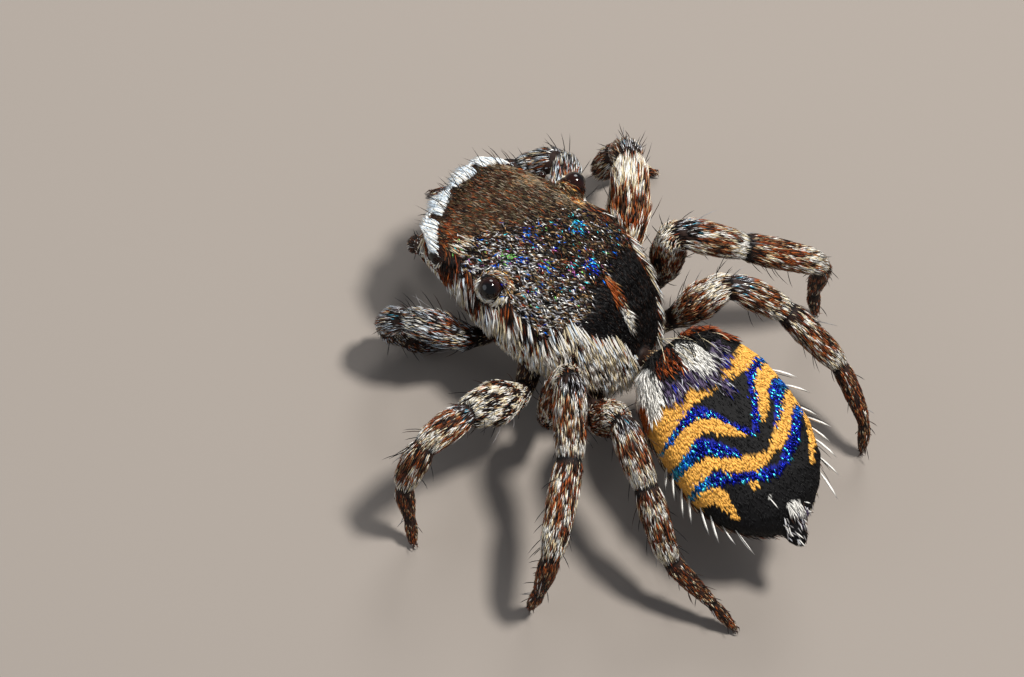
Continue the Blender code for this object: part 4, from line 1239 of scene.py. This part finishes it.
def growAbdomenBristles():
    points, normals, lies, unwrap = landedOnAbdomen(rimRays())
    dark = np.arange(len(points)) % 2 == 1
    colour = np.where(dark[:, None], tones["black"], tones["white"])
    length = rng.uniform(*rimValues["length"], len(points)) * np.where(dark, 0.9, 1.0)
    grow("abdomen_bristles", points, normals, lies, length, np.where(dark, 0.006, 0.020), 0.8, 0.7,
         colour, unwrap, rings=3, rootTone=colour * 0.9, flatness=0.6, slim=0.45, swing=0.12)
    for values in tuftValues.values():
        points, normals, lies, unwrap = landedOnAbdomen(tuftRays(values))
        colour = pick(len(points), values["tones"])
        grow("abdomen_bristles", points, normals, lies, rng.uniform(*values["length"], len(points)),
             *values["shape"], colour, unwrap, **values["more"])


growAbdomen()
growAbdomenBristles()
print("abdomen coat grown")

legCoatValues = {
    "density": 3200,
    "length": (0.09, 0.16),
    "width": (0.0048, 0.0078),
    "size": 1.0,
    "bristles": 60,
    "bristleWidth": 0.0042,
    "bristleLength": (0.14, 0.30),
    "kneeBristles": 4,
    "kneeBristleLength": 0.22,
}
palpCoatValues = {**legCoatValues, "density": 2600, "size": 0.62, "bristles": 24}
undersideValues = {"density": 900, "length": (0.05, 0.10), "width": 0.006}

# Shares of pale and of warm hair along each segment
legToneValues = {
    "paleShare": (
        (0, 0.08, 0.20, 0.45, 0.66, 0.80, 0.93, 1),
        (0.05, 0.40, 0.52, 0.34, 0.40, 0.78, 0.74, 0.05),
    ),
    "warmShare": ((0, 0.15, 0.45, 0.7, 1), (0.15, 0.22, 0.34, 0.28, 0.14)),
    "footPale": 0.40,
    "footWarm": 0.42,
    "stray": 0.12,
}


def legTones(segment, share, streak, count):
    # Clumps of cream, orange, brown and black: dark at each joint, pale before its far end
    level = 0.30 * rng.rand(count) + 0.70 * np.clip(0.5 + 0.55 * streak, 0, 1)
    pale = np.interp(share, *legToneValues["paleShare"])
    warm = np.interp(share, *legToneValues["warmShare"])
    foot = segment >= 4
    pale = np.where(foot, pale * legToneValues["footPale"], pale)
    warm = np.where(foot, legToneValues["footWarm"], warm)
    colour = pick(count, {"black": 4.6, "darkBrown": 2.0, "umber": 0.6})
    dye(colour, level < pale + warm, {"brown": 2.4, "orange": 1.6, "rust": 1.2, "tan": 1.2})
    dye(colour, level < pale, {"cream": 2.0, "white": 4.0, "tan": 0.4, "beige": 0.6, "grey": 0.5})
    dye(colour, rng.rand(count) < legToneValues["stray"], {"black": 1.0, "cream": 1.0, "brown": 1.0})
    return colour


def limbUnwrap(angle, index, whole):
    turn = angle / (2 * math.pi) + 0.5
    return np.stack([mapEdge + mapSpan * turn, mapEdge + mapSpan * index / whole], axis=1)


def growLimbCoat(name, piece, values, seed):
    limb = limbs[name]
    points, normals, _ = scatter([name], values["density"], seed)
    count = len(points)
    index, segment, share, angle, along = limbPlace(limb, points)
    tubePoints = np.stack([np.cos(angle) * 1.2, np.sin(angle) * 1.2, index * 0.022], axis=1)
    streak = cloud(tubePoints, 0.34, seed * 1.7)
    colour = legTones(segment, share, streak, count)
    if name.endswith("leg_1"):
        dye(colour, rng.rand(count) < 0.60, {"coolWhite": 1.2, "grey": 1.4, "black": 2.6})
    if name == "left_leg_2":  # its thigh has narrow black and white bands
        thigh = (segment == 1) & (rng.rand(count) < 0.7)
        wave = index[thigh] * 0.16 + 2.0 * np.cos(angle[thigh] * 2) + 1.2 * streak[thigh]
        colour[thigh] = np.where(
            np.sin(wave)[:, None] > -0.1,
            pick(thigh.sum(), {"white": 2.6, "cream": 2.0}),
            pick(thigh.sum(), {"black": 4.0, "darkBrown": 1.0}),
        )
    unwrap = limbUnwrap(angle, index, len(limb.path))
    slender = limb.radius[index] / 0.15
    length = rng.uniform(*values["length"], count) * np.clip(slender, 0.55, 1.1) * values["size"]
    width = rng.uniform(*values["width"], count) * np.clip(slender, 0.7, 1.1)
    rise = rng.uniform(0.07, 0.24, count)
    # On the upper side of each knee the silver, white and turquoise tones are a painted highlight, the
    # pearly gloss; the metallic shine given to the same hairs is their own gloss
    knee = (segment == 2) & (share < 0.22) & (np.cos(angle) > 0.55)
    keep = ~(knee & (rng.rand(count) < 0.45)) & (segment > 0) & (np.abs(share - 0.5) < 0.485)
    kneeShineAndPaintedHighlight = knee & keep
    dye(colour, kneeShineAndPaintedHighlight, {"silver": 2.0, "turquoise": 0.25, "white": 1.0, "black": 2.2})
    grow(piece, points, normals, along, length, width, rise, 0.15, colour, unwrap, keep,
         shine=np.where(kneeShineAndPaintedHighlight, 0.6, 0.0), rootTone=colour * 0.8, swing=0.10)
    # The coxa carries short pale hair
    base = (segment == 0) & (rng.rand(count) < 0.35)
    grow(piece, points, normals, along, length * 0.6, width, 0.2, 0.2,
         pick(count, {"cream": 2.0, "tan": 2.0, "brown": 1.5, "grey": 1.0}), unwrap, base)


def growLimbBristles(name, piece, count):
    # Long dark bristles all along a limb, the first few upright over the knee
    limb = limbs[name]
    last = len(limb.path) - 1
    index = rng.randint(limb.marks[1] + 8, last - 6, count)
    angle = rng.uniform(-math.pi, math.pi, count)
    tall = np.arange(count) < legCoatValues["kneeBristles"]
    index[tall] = rng.randint(limb.marks[2] - 8, limb.marks[2] + 6, tall.sum())
    angle[tall] *= 0.12
    along = limb.along[index]
    upper = unit(np.array((0, 0, 1.0)) - along * along[:, 2:3] + 1e-6)
    out = np.cos(angle)[:, None] * upper + np.sin(angle)[:, None] * np.cross(along, upper)
    points = limb.path[index] + out * limb.radius[index][:, None]
    slender = np.clip(limb.radius[index] / 0.15, 0.5, 1.1)
    colour = pick(count, {"black": 4.0, "darkBrown": 2.0, "grey": 0.8})
    free = rng.uniform(*legCoatValues["bristleLength"], count) * slender
    length = np.where(tall, legCoatValues["kneeBristleLength"], free)
    rise = np.where(tall, 1.8, rng.uniform(0.5, 1.3, count))
    grow(piece, points, out, along, length, legCoatValues["bristleWidth"], rise, 0.5, colour,
         limbUnwrap(angle, index, last), points[:, 2] > 0.05, rings=3, flatness=1.0)


for number, name in enumerate(limbs):
    values = palpCoatValues if name.endswith("palp") else legCoatValues
    piece = "palp_hair" if name.endswith("palp") else name + "_hair"
    growLimbCoat(name, piece, values, 51 + number)
    growLimbBristles(name, piece, values["bristles"])


def growUnderside():
    chosen = ["sternum", "pedicel", "left_chelicera", "right_chelicera"]
    points, normals, found = scatter(chosen, undersideValues["density"], 91)
    jaw = found >= parts.index("left_chelicera")
    lie = np.where(jaw[:, None], np.array((0, -0.3, -1.0)), np.array((0, 1.0, 0.1)))
    colour = pick(len(points), {"cream": 2.0, "tan": 2.0, "grey": 1.5, "brown": 1.5})
    keep = clearOfEyes(points, unit(lie), 0.08)
    grow("underside_hair", points, normals, lie, rng.uniform(*undersideValues["length"], len(points)),
         undersideValues["width"], 0.25, 0.2, colour, bodyUnwrap(points, sternumValues), keep)


growUnderside()
print("leg and underside coat grown")

# Every coat piece is finished with the hair material; a slot name is picked from a word in its name, but
# nothing uses it
coatSlots = {"abdomen": "abdomen", "leg": "leg", "palp": "leg", "underside": "underside"}
for piece in coat:
    slotName = next((slot for word, slot in coatSlots.items() if word in piece), "carapace")
    finishCoat(piece, surfaces["hair"])


def paintSkin():
    # The skin's own colours, with the same markings as the coat
    made = np.empty((len(skinPoints), 3))
    made[:] = tones["darkBrown"]
    grain = cloud(skinPoints, 0.05, 1.0)[:, None]
    for number, name in enumerate(parts):
        on = skinPart == number
        points = skinPoints[on]
        if name == "carapace":
            shares = carapaceZones(points, skinNormals[on])
            flank, face, head, glitter, velvet = (share[:, None] for share in shares)
            colour = flank * tones["darkSkin"] + face * tones["brown"]
            colour = colour + head * tones["darkBrown"] * 0.7 + glitter * tones["black"]
            colour = colour + velvet * tones["velvet"]
            margin = (carapacePlace(points) < -5)[:, None]
            made[on] = np.where(margin, tones["grey"] * 0.35, colour)
        elif name in ("abdomen", "spinnerets"):
            local = (points - abdomenPlace) @ abdomenTurn
            colour, _ = abdomenBase(local, np.zeros(len(points)))
            made[on] = colour * 0.6
        elif name in limbs:
            _, _, share, _, _ = limbPlace(limbs[name], points)
            joint = np.abs(share - 0.5)[:, None] > 0.44
            made[on] = np.where(joint, tones["black"], tones["darkSkin"] * 1.2)
        else:
            made[on] = tones["darkSkin"] if name == "pedicel" else tones["paleSkin"]
    return np.clip(made * (1 + 0.3 * grain), 0, 1)


skinTone = skinMesh.attributes.new("skinTone", "FLOAT_COLOR", "POINT")
painted = np.hstack([paintSkin(), np.ones((len(skinPoints), 1))])
skinTone.data.foreach_set("color", painted.astype(np.float32).ravel())
skinMesh.shade_smooth()
skinMesh.materials.clear()
skinMesh.materials.append(surfaces["skin"])
skin = addPiece(skinMesh, "spider_skin")
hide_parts(*[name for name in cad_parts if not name.endswith("_eye")])
print("skin painted")


def finishShape(shape, name, surface):
    bmesh.ops.recalc_face_normals(shape, faces=shape.faces)
    mesh = meshOf(shape, name)
    mesh.shade_smooth()
    mesh.materials.append(surface)
    return addPiece(mesh, name)


# Which way each lens looks (outwards, back, up), and where its dark centre turns to the edge's tone
lensValues = {
    "aims": {
        "front_eye": (0.12, -1.0, 0.02),
        "front_side_eye": (0.75, -1.0, 0.12),
        "small_eye": (1.0, 0.1, 0.75),
        "rear_eye": (1.0, 0.1, 0.75),
    },
    "centre": 0.80,
    "fade": 0.35,
    "large": 0.15,
}


def makeEyes():
    shape = bmesh.new()
    layer = shape.verts.layers.float_color.new("lensTone")
    lens = Vector(tones["velvet"]) * 0.3
    edge = Vector(tones["rust"]) * 0.06
    for name, (x, y, z, radius) in eyeValues.items():
        outwards, backwards, upwards = lensValues["aims"][name]
        cuts = 5 if radius > lensValues["large"] else 4
        for side in (1, -1):
            made = bmesh.ops.create_icosphere(shape, subdivisions=cuts, radius=radius)
            aim = Vector((side * outwards, backwards, upwards)).normalized()
            for vert in made["verts"]:
                facing = vert.co.normalized().dot(aim)
                rim = max(0.0, min(1.0, (lensValues["centre"] - facing) / lensValues["fade"]))
                vert[layer] = (*lens.lerp(edge, rim), 1.0)
            bmesh.ops.translate(shape, verts=made["verts"], vec=(side * x, y, z))
    item = finishShape(shape, "eyes", surfaces["eye"])
    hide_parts(*[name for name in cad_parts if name.endswith("_eye")])


clawValues = {
    "radius": 0.012,
    "length": 0.075,
    "spread": 0.022,
    "rootLevel": 0.04,
    "lift": 0.018,
    "tipLevel": 0.008,
    "lowest": 0.004,
}


def makeClaws():
    shape = bmesh.new()
    upward = np.array((0, 0, 1.0))
    length, tipLevel = clawValues["length"], clawValues["tipLevel"]
    for name, limb in limbs.items():
        if name.endswith("palp"):
            continue
        tip, along = limb.path[-1], limb.along[-1]
        flat = unit(np.array((along[0], along[1], 0.0)))
        across = np.array((-flat[1], flat[0], 0.0))
        for side in (1, -1):
            root = tip + across * side * clawValues["spread"] - flat * 0.02
            root[2] = max(root[2], clawValues["rootLevel"])
            bend = root + flat * length * 0.6 + np.array((0, 0, clawValues["lift"]))
            end = bend + flat * length * 0.35 - np.array((0, 0, bend[2] - tipLevel))
            middle = (root + bend) / 2 + np.array((0, 0, tipLevel))
            loft(shape, [
                circle(centre, clawValues["radius"] * size, across, upward, 8)
                for centre, size in ((root, 1.0), (middle, 0.85), (bend, 0.6), (end, 0.12))
            ])
    for vert in shape.verts:
        vert.co.z = max(vert.co.z, clawValues["lowest"])
    finishShape(shape, "claws", surfaces["claw"])


makeEyes()
makeClaws()
print("eyes and claws made")

# The camera stands as in the photo: angles in degrees, lengths in millimetres
viewValues = {
    "azimuth": 97.0,
    "elevation": 58.0,
    "roll": 30.4,
    "distance": 90.0,
    "lens": 343.6,
    "target": (0.7569, 0.1467, 0.8992),
}
azimuth, elevation = math.radians(viewValues["azimuth"]), math.radians(viewValues["elevation"])
level = math.cos(elevation)
back = Vector((math.sin(azimuth) * level, -math.cos(azimuth) * level, math.sin(elevation)))
right = (-back).cross(Vector((0, 0, 1))).normalized()
up = right.cross(-back)
roll = math.radians(viewValues["roll"])
pictureRight = right * math.cos(roll) + up * math.sin(roll)
pictureUp = up * math.cos(roll) - right * math.sin(roll)
target = toFrame @ Vector(viewValues["target"])

camera = bpy.data.cameras.new("camera")
camera.lens = viewValues["lens"]
camera.sensor_width = 36.0
camera.clip_start = 0.001
camera.clip_end = 10.0
viewer = placed("camera", camera)
turn = Matrix((pictureRight, pictureUp, back)).transposed().to_4x4()
viewer.matrix_world = Matrix.Translation(target + back * viewValues["distance"] * 0.001) @ turn
bpy.context.scene.camera = viewer

# Direction across, up and out of the picture, distance and size in millimetres, power, colour
lightValues = (
    ("key light", (0.50, 0.55, 0.70), 70.0, 14.0, 0.068, (1.0, 0.97, 0.93)),
    ("fill light", (-0.90, 0.10, 0.60), 70.0, 60.0, 0.015, (0.90, 0.95, 1.0)),
    ("rim light", (0.20, 1.00, 0.10), 70.0, 30.0, 0.020, (1.0, 1.0, 1.0)),
)
for name, (x, y, z), away, size, power, colour in lightValues:
    lamp = bpy.data.lights.new(name, "AREA")
    lamp.shape = "DISK"
    lamp.size = size * 0.001
    lamp.energy = power
    lamp.color = colour
    toLight = (pictureRight * x + pictureUp * y + back * z).normalized()
    turn = toLight.to_track_quat("Z", "Y").to_matrix().to_4x4()
    placed(name, lamp).matrix_world = Matrix.Translation(target + toLight * away * 0.001) @ turn

worldValues = {"colour": (0.86, 0.90, 1.0, 1.0), "strength": 0.30}
world = bpy.data.worlds.new("studio")
world.use_nodes = True
sky = world.node_tree.nodes["Background"]
sky.inputs["Color"].default_value = worldValues["colour"]
sky.inputs["Strength"].default_value = worldValues["strength"]
bpy.context.scene.world = world

floorValues = {"tone": (0.53, 0.50, 0.47), "roughness": 0.9, "size": 0.5, "gap": 0.000002}
floorShape = bmesh.new()
bmesh.ops.create_grid(floorShape, x_segments=1, y_segments=1, size=floorValues["size"])
floor = placed("floor", meshOf(floorShape, "floor"))
floor.location.z = cadLow.z - floorValues["gap"]
paper = bpy.data.materials.new("pale floor")
paper.use_nodes = True
shader = paper.node_tree.nodes["Principled BSDF"]
shader.inputs["Base Color"].default_value = (*tone(*floorValues["tone"]), 1.0)
shader.inputs["Roughness"].default_value = floorValues["roughness"]
floor.data.materials.append(paper)
bpy.context.scene.view_settings.view_transform = "Standard"
print("floor, light and camera set")
